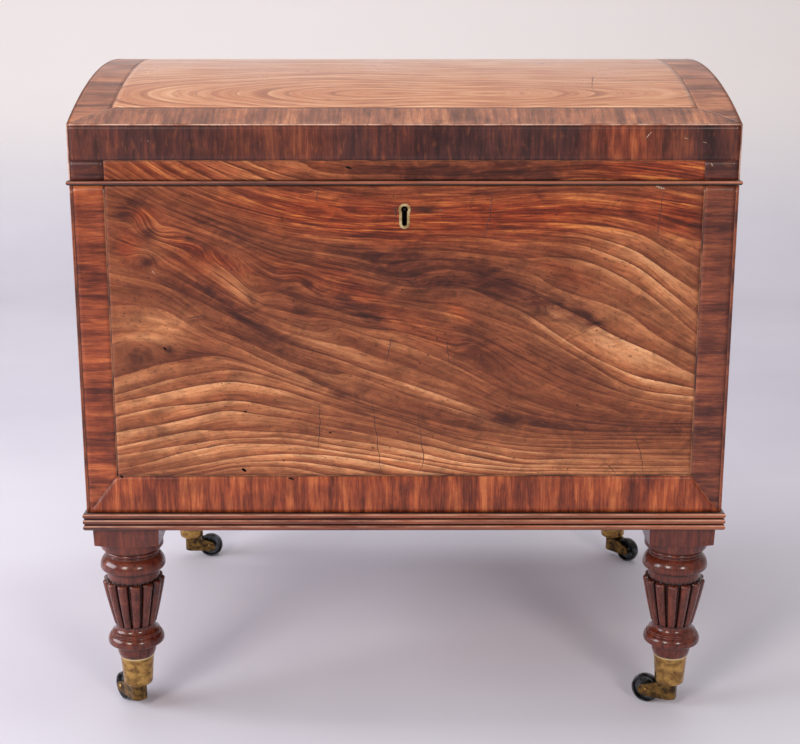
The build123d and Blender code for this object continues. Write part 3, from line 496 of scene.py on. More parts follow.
def figured_sheet(side, name, body, face, half, rows, columns, shift, kinds, keep=None):
    """A sheet of the figured wood, squeezed to a side's width and turned round on the left.

    Kinds are its dark, pale and orange clouds, which give its tone from 0 to 1.
    """
    a, b = np.meshgrid(columns, rows)
    across = a * panel_half / (half - band_width) * (-1 if side == "left" else 1)
    depth = case_top - b
    lay = np.stack([a + shift, ring_number(across, depth) + shift], -1)
    tone = np.clip(np.stack([clouds(across, depth, spots) for spots in kinds], -1), 0, 1)
    veneer(name, body, face(a, b), lay, figured, tone, keep)


def ribbon(name, body, face, points, width, material):
    """A thin mark along points on a face: widest in the middle, pointed and ragged to its ends."""
    lift, wander, bends, nicks = 0.06, 0.5, 23, 61
    points = np.array(points, float)
    share = np.linspace(0, 1, 25)
    even = np.linspace(0, 1, len(points))
    a = np.interp(share, even, points[:, 0]) + wander * np.sin(bends * share + points[0, 0])
    b = np.interp(share, even, points[:, 1])
    run = np.stack([np.gradient(a), np.gradient(b)], -1)
    run /= np.linalg.norm(run, axis=1, keepdims=True)
    ragged = 0.75 + 0.25 * np.sin(nicks * share + points[0, 1])
    half = (width / 2 * np.sin(math.pi * np.clip(share, 0.02, 0.98)) ** 0.5 * ragged)[:, None]
    side = np.stack([-run[:, 1], run[:, 0]], -1) * half
    middle = np.stack([a, b], -1)
    edges = np.stack([middle - side, middle + side])
    veneer(name, body, face(edges[..., 0], edges[..., 1], lift), edges, material)


# Hairline splits in the front panel, from (across, height) to (across, height)
splits = (
    ((89.9, 593.7), (87.3, 568.1), (81.5, 542.3)),
    ((14.4, 361.3), (17.7, 328.2), (21.0, 306.0), (15.7, 291.0)),
    ((243.1, 336.9), (251.6, 311.4), (254.7, 291.0)), ((212.5, 303.6), (220.2, 296.9), (225.0, 291.0)),
    ((-12.9, 442.5), (-19.2, 410.3)), ((-87.9, 595.0), (-90.1, 580.5)), ((44.4, 437.1), (46.7, 410.2)),
    ((-89.8, 369.0), (-89.1, 344.9), (-91.6, 317.2)), ((-34.0, 372.3), (-28.9, 328.3), (-24.8, 292.0)),
    ((263.8, 593.6), (260.8, 568.0), (258.8, 542.2)),
)
# Dents and drops of old wax that have gone black: (across, height) from end to end, and width
spots_of_wax = (
    ((-228.7, 459.7), (-205.7, 463.9), 0.9), ((-209.3, 319.6), (-199.6, 322.9), 1.2),
    ((-251.5, 429.6), (-248.0, 426.8), 2.5), ((-172.6, 296.6), (-168.6, 293.6), 4.0),
    ((-124.0, 286.6), (-117.6, 284.6), 2.9), ((-303.0, 289.4), (-299.6, 286.6), 2.5),
    ((-79.7, 337.2), (-77.0, 336.0), 1.9), ((-169.4, 360.0), (-165.9, 359.4), 2.5),
    ((-10.0, 577.0), (-8.4, 566.0), 1.4), ((-60.0, 617.6), (-53.6, 615.6), 3.1),
)
stop_line = 269.4  # where the rear edge's chamfer begins, under the hinge pins
stop_slope = math.tan(math.radians(47.5))


def face_of_veneers(side, face, half, shift):
    """All the veneers of one upright face of the case: panel, three bands, stringing and edges."""
    inner = half - band_width
    outer = half - edging
    string = 1.6
    columns = np.linspace(-inner, inner, panel_columns)
    rows = np.linspace(bottom_band_top, veneer_top, 105)
    keep = None
    if side == "front":  # finer cells around the keyhole, and none inside its brass
        low, high = mm("keyhole_escutcheon")
        clearing = 0.5
        fine_columns = np.linspace(-9, 9, 19)
        fine_rows = np.linspace(low[2] - 3, high[2] + 3, 33)
        columns = columns[np.abs(columns) > fine_columns[-1] + clearing]
        columns = np.sort(np.concatenate([columns, fine_columns]))
        away = (rows < fine_rows[0] - clearing) | (rows > fine_rows[-1] + clearing)
        rows = np.sort(np.concatenate([rows[away], fine_rows]))
        rim = 1.3
        slot_half = high[0] - 0.9
        head_z = high[2] - high[0]
        foot_z = low[2] + slot_half

        def keep(centres):
            """Cells outside the escutcheon: away from its round head, slot and foot."""
            x, z = centres[:, 0], centres[:, 2]
            head = np.hypot(x, z - head_z) < high[0] - rim
            slot = (np.abs(x) < slot_half - rim) & (z > foot_z) & (z < head_z)
            foot = np.hypot(x, z - foot_z) < slot_half - rim
            return ~(head | slot | foot)

    figured_sheet(side, f"{side}_veneer_panel", "case", face, half, rows, columns, shift,
                  (dark_clouds, pale_clouds, orange_clouds), keep)
    # The bands, then the lines of stringing inside them
    sides = ("left", "right", "bottom")
    band_rim = (outer, case_foot, veneer_top)
    band_edge = (inner + string, bottom_band_top - string, veneer_top)
    panel_edge = (inner, bottom_band_top, veneer_top)
    tones = ((0.0, 0.0, 0.35), (0.45, 0.1, 0.0), (0.0, 0.0, 0.6))
    next_cut = 300
    for n, (where, corners, tone) in enumerate(zip(sides, mitred(band_rim, band_edge), tones)):
        strip(f"{side}_crossband_{where}", "case", face, corners, 6.0, crossbanded,
              flat=where != "bottom", shift=next_cut * n + shift, tone=tone)
    for where, corners in zip(sides, mitred(band_edge, panel_edge)):
        strip(f"{side}_stringing_{where}", "case", face, corners, 8.0, stringing)
    for where, sign in both_ends:
        mitre = ((sign * outer, case_foot), (sign * (inner + string), bottom_band_top - string))
        ribbon(f"{side}_mitre_{where}", "case", face, mitre, 1.8, corner_wood)
        for kind, near, far, wood in (("edging", outer + joint, half - edge_inset, corner_wood),
                                      ("joint", outer, outer + joint, joint_dirt)):
            ends = sorted([sign * near, sign * far])
            rear = [end * {"front": 0, "left": -1, "right": 1}[side] for end in ends]
            tops = [veneer_top - stop_slope * max(0.0, y - stop_line) for y in rear]
            corners = ((ends[0], case_foot), (ends[1], case_foot), (ends[1], tops[1]), (ends[0], tops[0]))
            strip(f"{side}_{kind}_{where}", "case", face, corners, 8.0, wood)


face_of_veneers("front", on_front, half_width, 0.0)
face_of_veneers("left", on_left, half_depth, 911.0)
face_of_veneers("right", on_right, half_depth, 1777.0)
for n, points in enumerate(splits, 1):
    ribbon(f"front_split_{n}", "case", on_front, points, 0.9, joint_dirt)


def front_marks(kind, marks, material):
    """Short straight marks on the front of the case and the lid, each (start, end, width)."""
    for n, (start, end, width) in enumerate(marks, 1):
        body = "case" if start[1] < case_top else "lid"
        ribbon(f"{kind}_{n}", body, on_front, (start, end), width, material)


front_marks("wax_spot", spots_of_wax, joint_dirt)


# Arrises. A century and a half of handling has rounded every edge of the box to about a millimetre
# and a half and rubbed it pale, so each shows as a thin bright line with dark breaks; on the lid's
# front corners and top front edge the pale colour is also a painted highlight.
def arris(name, body, path, first, second, wood):
    """A quarter-round strip along a path, from one face's direction round to the other's.

    Each spot is the path's point, moved in from both faces, plus the radius turned by the angle.
    """
    radius, inset = 1.5, 1.0
    first, second = [np.broadcast_to(np.array(v, float), path.shape) for v in (first, second)]
    run = path[-1] - path[0]
    if np.dot(np.cross(run, (second - first)[0]), (first + second)[0]) < 0:
        path, first, second = path[::-1], first[::-1], second[::-1]
    turn = np.linspace(0, math.pi / 2, 6)[:, None, None]
    spots = path - inset * (first + second) + radius * (np.cos(turn) * first + np.sin(turn) * second)
    lay = np.stack([np.broadcast_to(np.arange(len(path)), spots.shape[:2]), spots[..., 2]], -1)
    veneer(name, body, spots, lay, wood)


def straight(start, end):
    """Forty points along a straight edge."""
    share = np.linspace(0, 1, 40)[:, None]
    return np.array(start, float) * (1 - share) + np.array(end, float) * share


for where, sign in both_ends:
    x = sign * half_width
    path = straight((x, -half_depth, case_foot), (x, -half_depth, veneer_top))
    arris(f"case_front_arris_{where}", "case", path, (0, -1, 0), (sign, 0, 0), corner_wood)
    path = straight((x, -half_depth, bead_top), (x, -half_depth, lid_edge))
    arris(f"lid_front_arris_{where}", "lid", path, (0, -1, 0), (sign, 0, 0), worn_edge_and_highlight)
    turn = np.linspace(-1, 1, 61) * math.asin(half_depth / dome_radius)
    flat = np.zeros_like(turn)
    path = np.stack([flat + x, dome_radius * np.sin(turn), dome_centre + dome_radius * np.cos(turn)], -1)
    arris(f"lid_end_arris_{where}", "lid", path, (sign, 0, 0),
          np.stack([flat, np.sin(turn), np.cos(turn)], -1), corner_wood)
path = straight((-half_width, -half_depth, lid_edge), (half_width, -half_depth, lid_edge))
arris("lid_top_arris", "lid", path, (0, -1, 0), (0, 0, 1), worn_edge_and_highlight)

# Chips and scratches in the polish, where bare pale wood shows: (across, height) from end to end
chips = (
    ((256.0, 597.4), (264.0, 595.2), 2.4), ((243.4, 646.1), (249.0, 652.6), 0.6),
    ((282.0, 646.4), (286.0, 645.4), 0.8), ((199.0, 659.2), (205.0, 659.4), 1.6),
    ((301.0, 642.2), (305.0, 641.2), 0.6), ((-258.5, 643.4), (-256.5, 643.6), 0.8),
    ((36.0, 573.0), (38.0, 573.3), 1.1), ((310.0, 621.0), (312.5, 618.0), 1.2),
    ((-259.5, 510.5), (-257.5, 507.5), 1.0),
)
front_marks("chip", chips, sliver("bare_mahogany_in_chips", "#d9bfa8", "#b58b72", "#7a4a3a"))


# Lid veneers. The case's panel runs on up into a narrow strip over the bead, with a dark crossband
# above it; the dome has a paler sun-bleached panel with long oval growth rings inside a crossband.
def lid_face(side, face, half, shift):
    """Veneers on one flat side of the lid: strip, ends and a band that follows the dome on top."""
    inner = half - band_width
    outer = half - edge_inset
    strip_top = lid_band_foot - 0.7
    rows, columns = np.linspace(bead_top, strip_top, 9), np.linspace(-inner, inner, panel_columns)
    figured_sheet(side, f"lid_{side}_strip", "lid", face, half, rows, columns, shift, (
        ((330, -16, 90, 30, 0, 1.0), (420, -16, 80, 30, 0, 0.9)), ((150, -16, 70, 30, 0, 0.6),),
        ((110, -16, 150, 30, 0, 0.6), (560, -16, 110, 30, 0, 1.0)),
    ))
    corners = ((-inner, strip_top), (inner, strip_top), (inner, lid_band_foot), (-inner, lid_band_foot))
    strip(f"lid_{side}_stringing", "lid", face, corners, 8.0, stringing)
    columns = np.linspace(-outer, outer, 141)
    if side == "front":
        top = np.full_like(columns, lid_edge)
    else:
        top = dome_centre + np.sqrt(dome_radius ** 2 - columns ** 2)
    share = np.linspace(0, 1, 9)[:, None]
    a = np.broadcast_to(columns, (9, len(columns)))
    b = lid_band_foot * (1 - share) + (top - edge_inset)[None] * share
    across = a * panel_half / inner
    heart = clouds(across, 0 * a, (
        (40, 0, 70, 60, 0, 1.0), (150, 0, 50, 60, 0, 0.5), (340, 0, 80, 60, 0, 0.9),
        (455, 0, 60, 60, 0, 1.0), (610, 0, 40, 60, 0, 1.0), (250, 0, 60, 60, 0, 0.6),
    ))
    orange = clouds(across, 0 * a, ((530, 0, 50, 60, 0, 0.8), (200, 0, 40, 60, 0, 0.3)))
    tone = np.clip(np.stack([0.55 + 0.5 * heart - 0.4 * orange, 0 * a, orange], -1), 0, 1)
    veneer(f"lid_{side}_crossband", "lid", face(a, b), np.stack([b, a + shift], -1), crossbanded, tone)
    for where, sign in both_ends:
        left, right = sorted([sign * inner, sign * outer])
        corners = ((left, bead_top), (right, bead_top), (right, lid_band_foot), (left, lid_band_foot))
        strip(f"lid_{side}_end_{where}", "lid", face, corners, 5.0, crossbanded,
              flat=True, shift=71 + shift, tone=(0.9, 0.0, 0.0))


lid_face("front", on_front, half_width, 37.0)
lid_face("left", on_left, half_depth, 1311.0)
lid_face("right", on_right, half_depth, 2203.0)


def bleached_mahogany():
    """The dome's panel: the same polished mahogany, faded by light to a warm tan."""
    material, tree, place = new_material("faded_mahogany_french_polished")
    lay = add(tree, "UVMap", uv_map="lay")
    ring = add(tree, "SeparateXYZ", {0: lay}, out=1)
    wander = grain(tree, lay, (120.0, 14.0, 1.0))
    wander = add(tree, "Math", {0: wander, 1: 1.8}, operation="MULTIPLY")
    rise = rise_through(tree, ring, 9.0, wander)
    bundles = grain(tree, lay, (220.0, 9.0, 1.0), detail=4, roughness=0.6)
    fibres = grain(tree, lay, (60.0, 2.4, 1.0))
    streak = add(tree, "Mix", {0: 0.45, 2: bundles, 3: fibres})
    figure = add(tree, "Math", {0: rise, 1: 0.10, 2: streak}, operation="MULTIPLY_ADD")
    colour = add(tree, "ValToRGB", {0: figure}, stops=(
        (0.40, "#955637"), (0.52, "#b97750"), (0.60, "#c98d66"), (0.70, "#d9a67e"),
    ))
    colour = stain(tree, colour, rise, 0.3, 0.0, 0.4, "#7d4428")[0]
    pores = grain(tree, lay, (9.0, 1.1, 1.0), detail=1)
    colour = stain(tree, colour, pores, 0.64, 0.74, 0.35, "#5e3523")[0]
    wax = grain(tree, place, 60.0)
    polish(tree, colour, fibres, 0.02, wax, 0.26, 0.38, 0.3)
    return material


arc_half = dome_radius * math.asin(half_depth / dome_radius) - edge_inset
top_band = 40.0
top_a = half_width - top_band
top_b = arc_half - top_band
a, b = four_sided(((-top_a, -top_b), (top_a, -top_b), (top_a, top_b), (-top_a, top_b)), 5.0)
# Its growth rings are long ovals about a heart near the front edge, and they waver a little
oval_x, oval_b, oval_reach, oval_slimness = 46.0, -196.0, 40.0, 5.0
beyond = np.maximum(np.abs(a - oval_x) - oval_reach, 0) / oval_slimness
ring = np.hypot(beyond, b - oval_b) + 4 * np.sin(a / 75) + 2.5 * np.sin(a / 31 + 1)
veneer("lid_top_panel", "lid", on_dome(a, b), np.stack([a, ring], -1), bleached_mahogany())
string, next_cut = 1.2, 450
band_rim = (half_width - edge_inset, -arc_half, arc_half)
band_edge = (top_a + string, -top_b - string, top_b + string)
bands = dict(zip(("left", "right", "front", "back"), mitred(band_rim, band_edge)))
lines = dict(zip(bands, mitred(band_edge, (top_a, -top_b, top_b))))
for n, where in enumerate(("front", "back", "left", "right")):
    strip(f"lid_top_crossband_{where}", "lid", on_dome, bands[where], 5.0, crossbanded,
          flat=where in ("left", "right"), shift=next_cut * n, tone=(0.0, 0.7, 0.0))
for where in ("front", "back", "left", "right"):
    strip(f"lid_top_stringing_{where}", "lid", on_dome, lines[where], 5.0, stringing)
ribbon("lid_top_split", "lid", on_dome, ((206.5, -128.2), (201.9, -158.6), (198.9, -184.5)), 1.2, stringing)


# Mouldings. Three reeds planed along each strip at the foot of the case, and a half-round bead under
# the lid: a pale painted highlight lies on their upper shoulders, and old wax and painted shade lie dark
# in the hollows; the bead's lower part is painted shadow.
def moulded_mahogany(name, axis, foot, pitch, shaded, highlight_colour):
    """Mahogany with the grain along one axis, dark with wax and painted shade at each hollow and with a
    painted highlight on each shoulder.

    Shaded is how far up each reed the dark wax and painted shade reach, as a share of its height;
    highlight_colour is the colour of the painted highlight on the upper shoulders.
    """
    material, tree, place = new_material(name)
    across, _, height = add(tree, "SeparateXYZ", {0: place}, out=None)
    fibres = grain(tree, place, lengthwise(axis, 120.0, 1.6), detail=4)
    bands = grain(tree, place, lengthwise(axis, 90.0, 6.0))
    worn = grain(tree, place, lengthwise(axis, 40.0, 8.0), detail=4)
    figure = add(tree, "Mix", {0: 0.5, 2: fibres, 3: bands})
    shades = ((0.40, "#451b10"), (0.50, "#70341f"), (0.62, "#974f2f"))
    colour = add(tree, "ValToRGB", {0: figure}, stops=shades)
    colour = stain(tree, colour, across, -0.1, 0.34, 0.5, "#a9623c")[0]
    step = rise_through(tree, height, pitch, -foot / pitch)
    # A painted highlight: a pale band on the upper shoulder of each reed and of the bead, made patchy by a
    # noise.
    patchy = add(tree, "MapRange", {0: worn, 1: 0.38, 2: 0.6, 3: 0.1, 4: 0.85})
    shoulder = add(tree, "ValToRGB", {0: step}, stops=(
        (0.56, "#000000"), (0.68, "#ffffff"), (0.76, "#ffffff"), (0.86, "#000000"),
    ))
    rubbed = add(tree, "Math", {0: shoulder, 1: patchy}, operation="MULTIPLY")
    colour = add(tree, "Mix", {0: rubbed, 6: colour, 7: highlight_colour}, **mix_colours)
    # Old wax and painted shade in the hollows: dark at the foot and the top of each reed, where the grooves
    # are; the bead's lower part is painted shadow.
    wax_and_shade = add(tree, "ValToRGB", {0: step}, stops=(
        (shaded, "#ffffff"), (shaded + 0.14, "#000000"), (0.84, "#000000"), (0.93, "#ffffff"),
    ))
    colour = add(tree, "Mix", {0: wax_and_shade, 6: colour, 7: "#1a0c0a"}, **mix_colours)
    polish(tree, colour, fibres, 0.12, worn, 0.22, 0.38, 0.5)
    return material


moulding_low, moulding_high = mm("plinth_moulding_front")
reed_pitch = (moulding_high[2] - moulding_low[2]) / 3
bead_low, bead_high = mm("cock_bead_front")
# The last number and colour in each call are how far the painted shade reaches and the colour of the painted
# highlight.
for side, axis in (("front", 0), ("back", 0), ("left", 1), ("right", 1)):
    wood = moulded_mahogany(f"reeded_mahogany_{side}", axis, moulding_low[2], reed_pitch, 0.06, "#bd8a70")
    dress([f"plinth_moulding_{side}"], wood)
for side, axis in (("front", 0), ("left", 1), ("right", 1)):
    wood = moulded_mahogany(f"beaded_mahogany_{side}", axis, bead_low[2], bead_high[2] - bead_low[2], 0.3,
                            "#9c6450")
    dress([f"cock_bead_{side}"], wood)


# Legs. Each is turned from one square of mahogany: a block over a disc, a ringed throat, a round head
# ring, thirteen carved reeds on a taper, a foot ring with fine grooves and a collar.
def arc(start, end, bulge, count):
    """Points along a circular arc from start to end; bulge is its rise over half its chord."""
    t = np.linspace(0, 1, count)[:, None]
    start, end = np.array(start, float), np.array(end, float)
    chord = end - start
    outward = np.array([chord[1], -chord[0]])
    half_angle = 2 * math.atan(bulge)
    angle = (2 * t - 1) * half_angle
    rise = (np.cos(angle) - math.cos(half_angle)) / (2 * math.sin(half_angle))
    run = 0.5 + np.sin(angle) / (2 * math.sin(half_angle))
    return start + chord * run + outward * rise


collar_foot = mm("castor_cup_front_left")[1][2]
block_foot = 205.0
block_top = moulding_low[2]
leg_profile = np.concatenate([
    [(0.0, collar_foot - 10), (15.6, collar_foot - 10), (16.6, collar_foot), (19.1, collar_foot)],
    arc((19.3, 66.2), (20.2, 81.2), 0.22, 9),
    [(20.4, 81.5), (29.0, 81.7)],
    arc((29.4, 81.9), (31.0, 84.9), 0.30, 5)[1:],
    arc((31.0, 84.9), (28.0, 92.7), 0.24, 9)[1:],
    [(27.4, 92.8), (27.2, 93.2), (27.2, 94.2), (26.9, 94.5), (26.4, 94.6), (26.4, 95.8), (26.2, 96.1)],
    arc((26.2, 96.1), (21.8, 103.4), -0.30, 9)[1:],
    [(21.9, 104.6)],
    arc((22.3, 104.8), (23.5, 106.8), 0.3, 4)[1:],
    arc((23.5, 106.8), (33.9, 154.2), 0.015, 22)[1:],
    arc((33.9, 154.2), (33.4, 157.4), 0.35, 6)[1:],
    [(32.0, 158.3), (30.4, 158.5), (28.9, 158.3), (28.7, 158.8), (28.6, 164.0), (28.5, 170.2)],
    [(29.0, 170.5), (32.8, 170.6)],
    arc((33.4, 170.8), (35.6, 174.6), 0.32, 7)[1:],
    arc((35.6, 174.6), (29.6, 186.2), 0.27, 13)[1:],
    [(28.9, 186.3), (28.8, 186.6), (28.8, 187.6), (28.2, 187.9), (28.0, 188.2), (28.0, 189.2)],
    [(28.6, 189.5)],
    arc((29.6, 189.7), (29.6, 192.9), 0.5, 7),
    [(29.3, 193.2), (29.3, 195.0), (31.0, 195.2), (33.0, 195.3)],
    arc((33.2, 195.4), (34.2, 197.2), 0.25, 4)[1:],
    [(34.2, 200.0), (34.2, 204.9)],
    [(50.4, level) for level in (block_foot, 208.2, 218.0, 227.5)] + [(0.0, 227.6)],
])


def leg_surface(reed_angle):
    """Radius, height, and wax with painted shade at each level and angle: the turned outline, cut into
    reeds, then squared.

    A reed is a circle that stands on the core and touches the outline; the square is the distance to
    its flat sides, a little narrower at its foot, and its corners are lifted at the shoulder.
    """
    reeds, steps = 13, 18
    pitch = 2 * math.pi / reeds
    turns = np.arange(reeds * steps) * pitch / steps
    radius = leg_profile[:, :1]
    height = leg_profile[:, 1:]
    off = (turns - reed_angle + pitch / 2) % pitch - pitch / 2
    reed = 0.181 * radius
    core = 0.80 * radius
    centre = radius - reed
    inside = np.maximum(reed ** 2 - (centre * np.sin(off)) ** 2, 0)
    carved = np.where(inside > 0, centre * np.cos(off) + np.sqrt(inside), 0)
    carved = np.maximum(carved, core)
    reeded = (height > 104.7) & (height < 158.4) & (radius > 22.0)
    shape = np.where(reeded, carved, radius)
    half = 34.7 + 0.8 * np.clip((height - block_foot) / (block_top - block_foot), 0, 1)
    squareness = 1 / np.maximum(np.abs(np.cos(turns)), np.abs(np.sin(turns)))
    shape = np.where(height >= block_foot, np.minimum(shape, half * squareness), shape)
    corner_lift = 2.4 * (squareness - 1) / (math.sqrt(2) - 1)
    levels = height + np.where(height == block_foot, corner_lift, 0)
    # Old wax and painted shade: dark between the reeds, in the grooves and under the rings, where shade
    # falls.
    wax = np.where(reeded, np.clip((radius - carved) / (0.17 * np.maximum(radius, 1)), 0, 1), 0)
    for level, reach, depth in (
        (81.0, 0.7, 0.8), (93.3, 0.5, 0.35), (94.9, 0.5, 0.35), (104.3, 1.1, 0.9), (159.2, 1.2, 0.9),
        (170.4, 1.0, 0.9), (186.8, 0.6, 0.7), (188.8, 0.9, 1.0), (194.2, 1.3, 1.0),
    ):
        wax = np.maximum(wax, depth * np.exp(-((height - level) / reach) ** 2) * np.ones_like(turns))
    return turns, shape, levels, wax


def turned_mahogany():
    """French-polished turned mahogany: deep red-brown, glossy on the rings, black wax and painted shade in
    the hollows.
    """
    material, tree, place = new_material("turned_mahogany_french_polished")
    fibres = grain(tree, place, (2.4, 2.4, 60.0), detail=4)
    bands = grain(tree, place, (9.0, 9.0, 120.0))
    figure = add(tree, "Mix", {0: 0.4, 2: fibres, 3: bands})
    shades = ((0.36, "#3c150d"), (0.50, "#562215"), (0.66, "#73331f"))
    colour = add(tree, "ValToRGB", {0: figure}, stops=shades)
    wear = grain(tree, place, 12.0, detail=4)
    colour = stain(tree, colour, wear, 0.52, 0.75, 0.4, "#7d3f2b")[0]
    pores = grain(tree, place, (0.9, 0.9, 8.0), detail=1)
    colour, pore = stain(tree, colour, pores, 0.62, 0.72, 0.5, "#1d0c0a")
    # The hollows' dark is old wax and painted shade, carried on the mesh.
    wax_and_shade = add(tree, "Attribute", out=2, attribute_name="wax_and_shade")
    colour = stain(tree, colour, wax_and_shade, 0.20, 0.85, 0.9, "#170a08", interpolation_type="SMOOTHSTEP")[0]
    relief = add(tree, "Math", {0: fibres, 1: pore}, operation="SUBTRACT")
    polish(tree, colour, relief, 0.03, wear, 0.20, 0.32, 0.4, 0.3)
    return material


polished = turned_mahogany()
legs = ("front_left", "front_right", "rear_left", "rear_right")
for corner in legs:
    low, high = mm(f"leg_{corner}")
    centre = (low + high) / 2
    x_sign = 1 if corner.endswith("right") else -1
    turns, shape, levels, wax = leg_surface(math.radians(-90 - 12 * x_sign))
    number = np.arange(shape.size).reshape(shape.shape)
    after = np.roll(number, -1, axis=1)
    quads = np.stack([number[:-1], after[:-1], after[1:], number[1:]], -1).reshape(-1, 4)
    spots = np.stack([centre[0] + shape * np.cos(turns), centre[1] + shape * np.sin(turns), levels], -1)
    leg = sheet(f"turned_leg_{corner}", spots, quads, polished)
    # The wax and painted shade go onto the mesh as an attribute.
    leg.data.attributes.new("wax_and_shade", "FLOAT", "POINT").data.foreach_set("value", wax.ravel())
    leg.data.set_sharp_from_angle(angle=math.radians(40))
    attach(leg, "case")
    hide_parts(f"leg_{corner}")


# Castors. A cast and turned brass cup under each leg, and below it a bronze horn with a small dished
# wheel: the cups are yellow where rubbed and spotted brown, the horns duller, the wheels near black.
def aged_brass(name, bright, dull, spot, spot_share, rough, lip=9999.0, grime=-1.0):
    """Unlacquered brass: yellow metal under a brown film, with small dark corroded spots.

    Above the height `lip` it is pale yellow, and below the height `grime` it is black with old oil.
    """
    material, tree, place = new_material(name)
    film = grain(tree, place, (9.0, 9.0, 7.0), detail=4, warp=0.3)
    spots = grain(tree, place, 2.4, detail=3, roughness=0.65)
    rot = add(tree, "Mix", {0: 0.7, 2: film, 3: spots})
    colour = add(tree, "ValToRGB", {0: film}, stops=((0.40, bright), (0.60, dull)))
    colour, corroded = stain(tree, colour, rot, 0.60 - spot_share, 0.70 - spot_share, 1.0, spot,
                             interpolation_type="SMOOTHSTEP")
    height = add(tree, "SeparateXYZ", {0: place}, out=2)
    colour = stain(tree, colour, height, lip / 1000, lip / 1000 + 0.0004, 0.8, "#e2cb98")[0]
    colour, oily = stain(tree, colour, height, grime / 1000, grime / 1000 - 0.002, 1.0, "#0c0806")
    dirty = add(tree, "Math", {0: corroded, 1: oily}, operation="MAXIMUM")
    metal = add(tree, "MapRange", {0: dirty, 3: 0.95, 4: 0.3})
    scratches = grain(tree, place, (6.0, 6.0, 0.5), detail=2)
    worn = add(tree, "MapRange", {0: scratches, 1: 0.3, 2: 0.7, 3: rough, 4: rough + 0.12})
    worn = add(tree, "Math", {0: dirty, 1: 0.3, 2: worn}, operation="MULTIPLY_ADD")
    relief = add(tree, "Math", {0: scratches, 1: 0.3, 2: corroded}, operation="MULTIPLY_ADD")
    bump = add(tree, "Bump", {"Strength": 0.5, "Distance": 0.0001, "Height": relief}, invert=True)
    surface(tree, {"Base Color": colour, "Metallic": metal, "Roughness": worn, "Normal": bump})
    return material


castor_brasses = (
    (("cup",), ("cast_brass_cup_aged", "#c49b58", "#8f6b3f", "#443019", 0.02, 0.22, collar_foot - 1.8)),
    (("horn", "axle"), ("cast_brass_horn_darkened", "#8a6a3a", "#463623", "#1d1611", 0.05, 0.28)),
    (("wheel",), ("bronze_wheel_blackened", "#62666a", "#35332f", "#171514", 0.03, 0.24)),
)
for parts, look in castor_brasses:
    dress([f"castor_{part}_{corner}" for part in parts for corner in legs], aged_brass(*look))

# Lock and hinges. A pale brass thread escutcheon lines the keyhole; the lock is black with old oil
# inside; its link plate and hooks, the butt hinges and the screws are dull cabinet brass.
cabinet = ("#b98f4c", "#86653a", "#4a3722", 0.0, 0.32)
dress(["keyhole_escutcheon"],
      aged_brass("brass_escutcheon_worn", "#dcc797", "#a58a5c", "#4c3b26", 0.03, 0.34))
dress(("lock_case", "lock_bolt", "lock_key_pin"),
      aged_brass("lock_brass_oily_inside", *cabinet, grime=case_top - 2.5))
dress(("lock_link_plate", "lock_hooks", "hinge_pins", "case_screws", "lid_screws",
       "hinge_leaf_lower_left", "hinge_leaf_lower_right", "hinge_leaf_upper_left", "hinge_leaf_upper_right"),
      aged_brass("cabinet_brass_dull", *cabinet))


# Inside. Sheet lead dressed into the box, dull grey with a white bloom, and thin mahogany divisions
# halved together to make twenty cells for bottles.
def sheet_lead():
    """Old sheet lead: soft grey metal, hammered flat, with a pale powdery oxide."""
    material, tree, place = new_material("sheet_lead_oxidised")
    bloom = grain(tree, place, 60.0, detail=5)
    colour = add(tree, "ValToRGB", {0: bloom}, stops=((0.35, "#5d6064"), (0.65, "#92948f")))
    scratches = grain(tree, place, (3.0, 3.0, 40.0), detail=2)
    colour = stain(tree, colour, scratches, 0.6, 0.75, 0.5, "#44474b")[0]
    rough = add(tree, "MapRange", {0: bloom, 1: 0.35, 2: 0.65, 3: 0.42, 4: 0.72})
    dents = grain(tree, place, 22.0, detail=2)
    bump = add(tree, "Bump", {"Strength": 0.6, "Distance": 0.0008, "Height": dents})
    surface(tree, {"Base Color": colour, "Metallic": 0.7, "Roughness": rough, "Normal": bump})
    return material


dress(["lead_lining"], sheet_lead())
for kind, count, way, axis in (("cross", 4, "fore_and_aft", 1), ("long", 3, "across", 0)):
    dress([f"bottle_divider_{kind}_{n}" for n in range(1, count + 1)],
          plain_mahogany(f"bare_mahogany_{way}", axis, "#a26a4a", "#87523a", "#6b3b2a", 0.0))

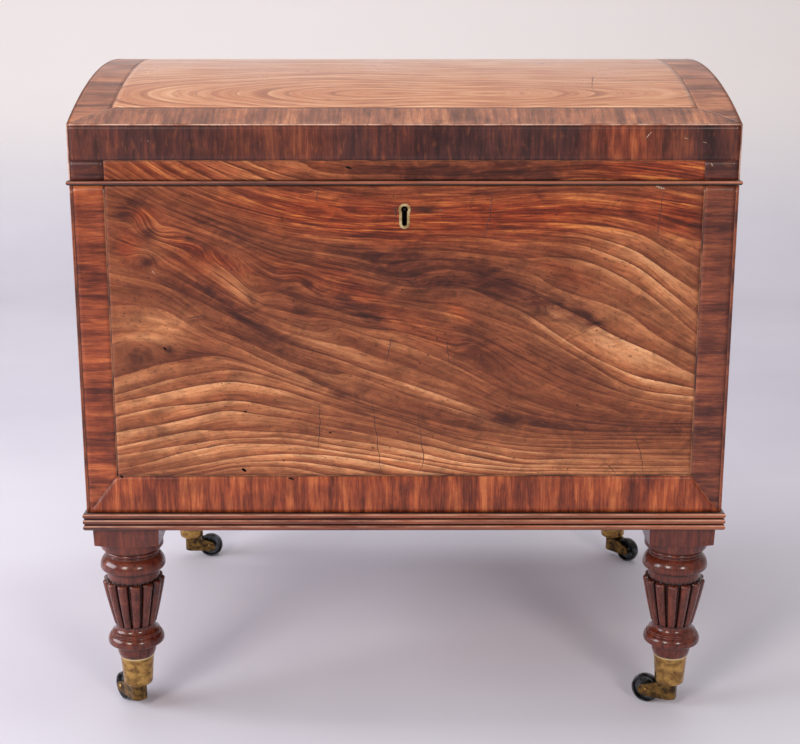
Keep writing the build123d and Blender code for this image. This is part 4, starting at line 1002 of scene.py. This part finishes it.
# Studio. A pale floor that runs up into a pale wall, soft windows on the left and in front, a weak
# skylight, and the camera at the photograph's height and angle.
floor_half = 6000.0
wall_y = 3200.0
wall_top = 6000.0
sweep_radius = 1200.0
bend = np.linspace(0, math.pi / 2, 17)
path_y = np.concatenate([[-floor_half], wall_y - sweep_radius + sweep_radius * np.sin(bend), [wall_y]])
path_z = np.concatenate([[0.0], sweep_radius - sweep_radius * np.cos(bend), [wall_top]])
edges = [np.stack([np.full_like(path_y, x), path_y, path_z], -1) for x in (-floor_half, floor_half)]
count = len(path_y)
first = np.arange(count - 1)
quads = np.stack([first, first + count, first + count + 1, first + 1], -1)
floor_paint, tree, place = new_material("studio_floor_paint")
height = add(tree, "SeparateXYZ", {0: place}, out=2)
cloud = grain(tree, place, 700.0)
tint = add(tree, "ValToRGB", {0: cloud}, stops=((0.3, "#cfcbd6"), (0.7, "#dbd8e1")))
tint = stain(tree, tint, height, 0.02, 0.5, 1.0, "#f1eae6", interpolation_type="SMOOTHSTEP")[0]
surface(tree, {"Base Color": tint, "Roughness": 0.85, "Specular IOR Level": 0.2})
studio_floor = sheet("studio_floor", np.stack(edges), quads, floor_paint)

world = bpy.data.worlds.new("soft_daylight")
bpy.context.scene.world = world
world.use_nodes = True
sky = world.node_tree.nodes["Background"].inputs
sky[0].default_value = linear("#f2f2f6")
sky[1].default_value = 0.42
for name, spot, aim, size, power, colour in (
    ("window_left", (-3.0, -0.6, 1.3), (0.0, 0.0, 0.3), (2.2, 1.4), 84.0, "#f4f6ff"),
    ("window_front_left", (-1.3, -2.5, 1.7), (0.0, 0.0, 0.4), (0.7, 0.9), 34.0, "#fff8f0"),
    ("window_front_right", (1.2, -2.7, 1.5), (0.0, 0.0, 0.4), (0.5, 0.7), 22.0, "#fff8f0"),
    ("skylight", (0.0, 0.5, 3.2), (0.0, 0.1, 0.3), (2.4, 1.8), 38.0, "#ffffff"),
):
    lamp = bpy.data.lights.new(name, "AREA")
    lamp.shape = "RECTANGLE"
    lamp.size, lamp.size_y = size
    lamp.energy = power
    lamp.color = linear(colour)[:3]
    holder = bpy.data.objects.new(name, lamp)
    holder.location = spot
    direction = np.array(aim) - np.array(spot)
    pitch = math.atan2(math.hypot(direction[0], direction[1]), -direction[2])
    holder.rotation_euler = (pitch, 0.0, math.atan2(-direction[0], direction[1]))
    bpy.context.scene.collection.objects.link(holder)

lens = bpy.data.cameras.new("photograph_camera")
lens.sensor_width = 36.0
lens.lens = 68.79
camera = bpy.data.objects.new("photograph_camera", lens)
camera.location = (-0.0089, -1.8231, 0.8042)
camera.rotation_euler = (math.radians(90 - 14.52), 0.0, math.radians(-0.16))
bpy.context.scene.collection.objects.link(camera)
bpy.context.scene.camera = camera
bpy.context.scene.view_settings.view_transform = "Standard"
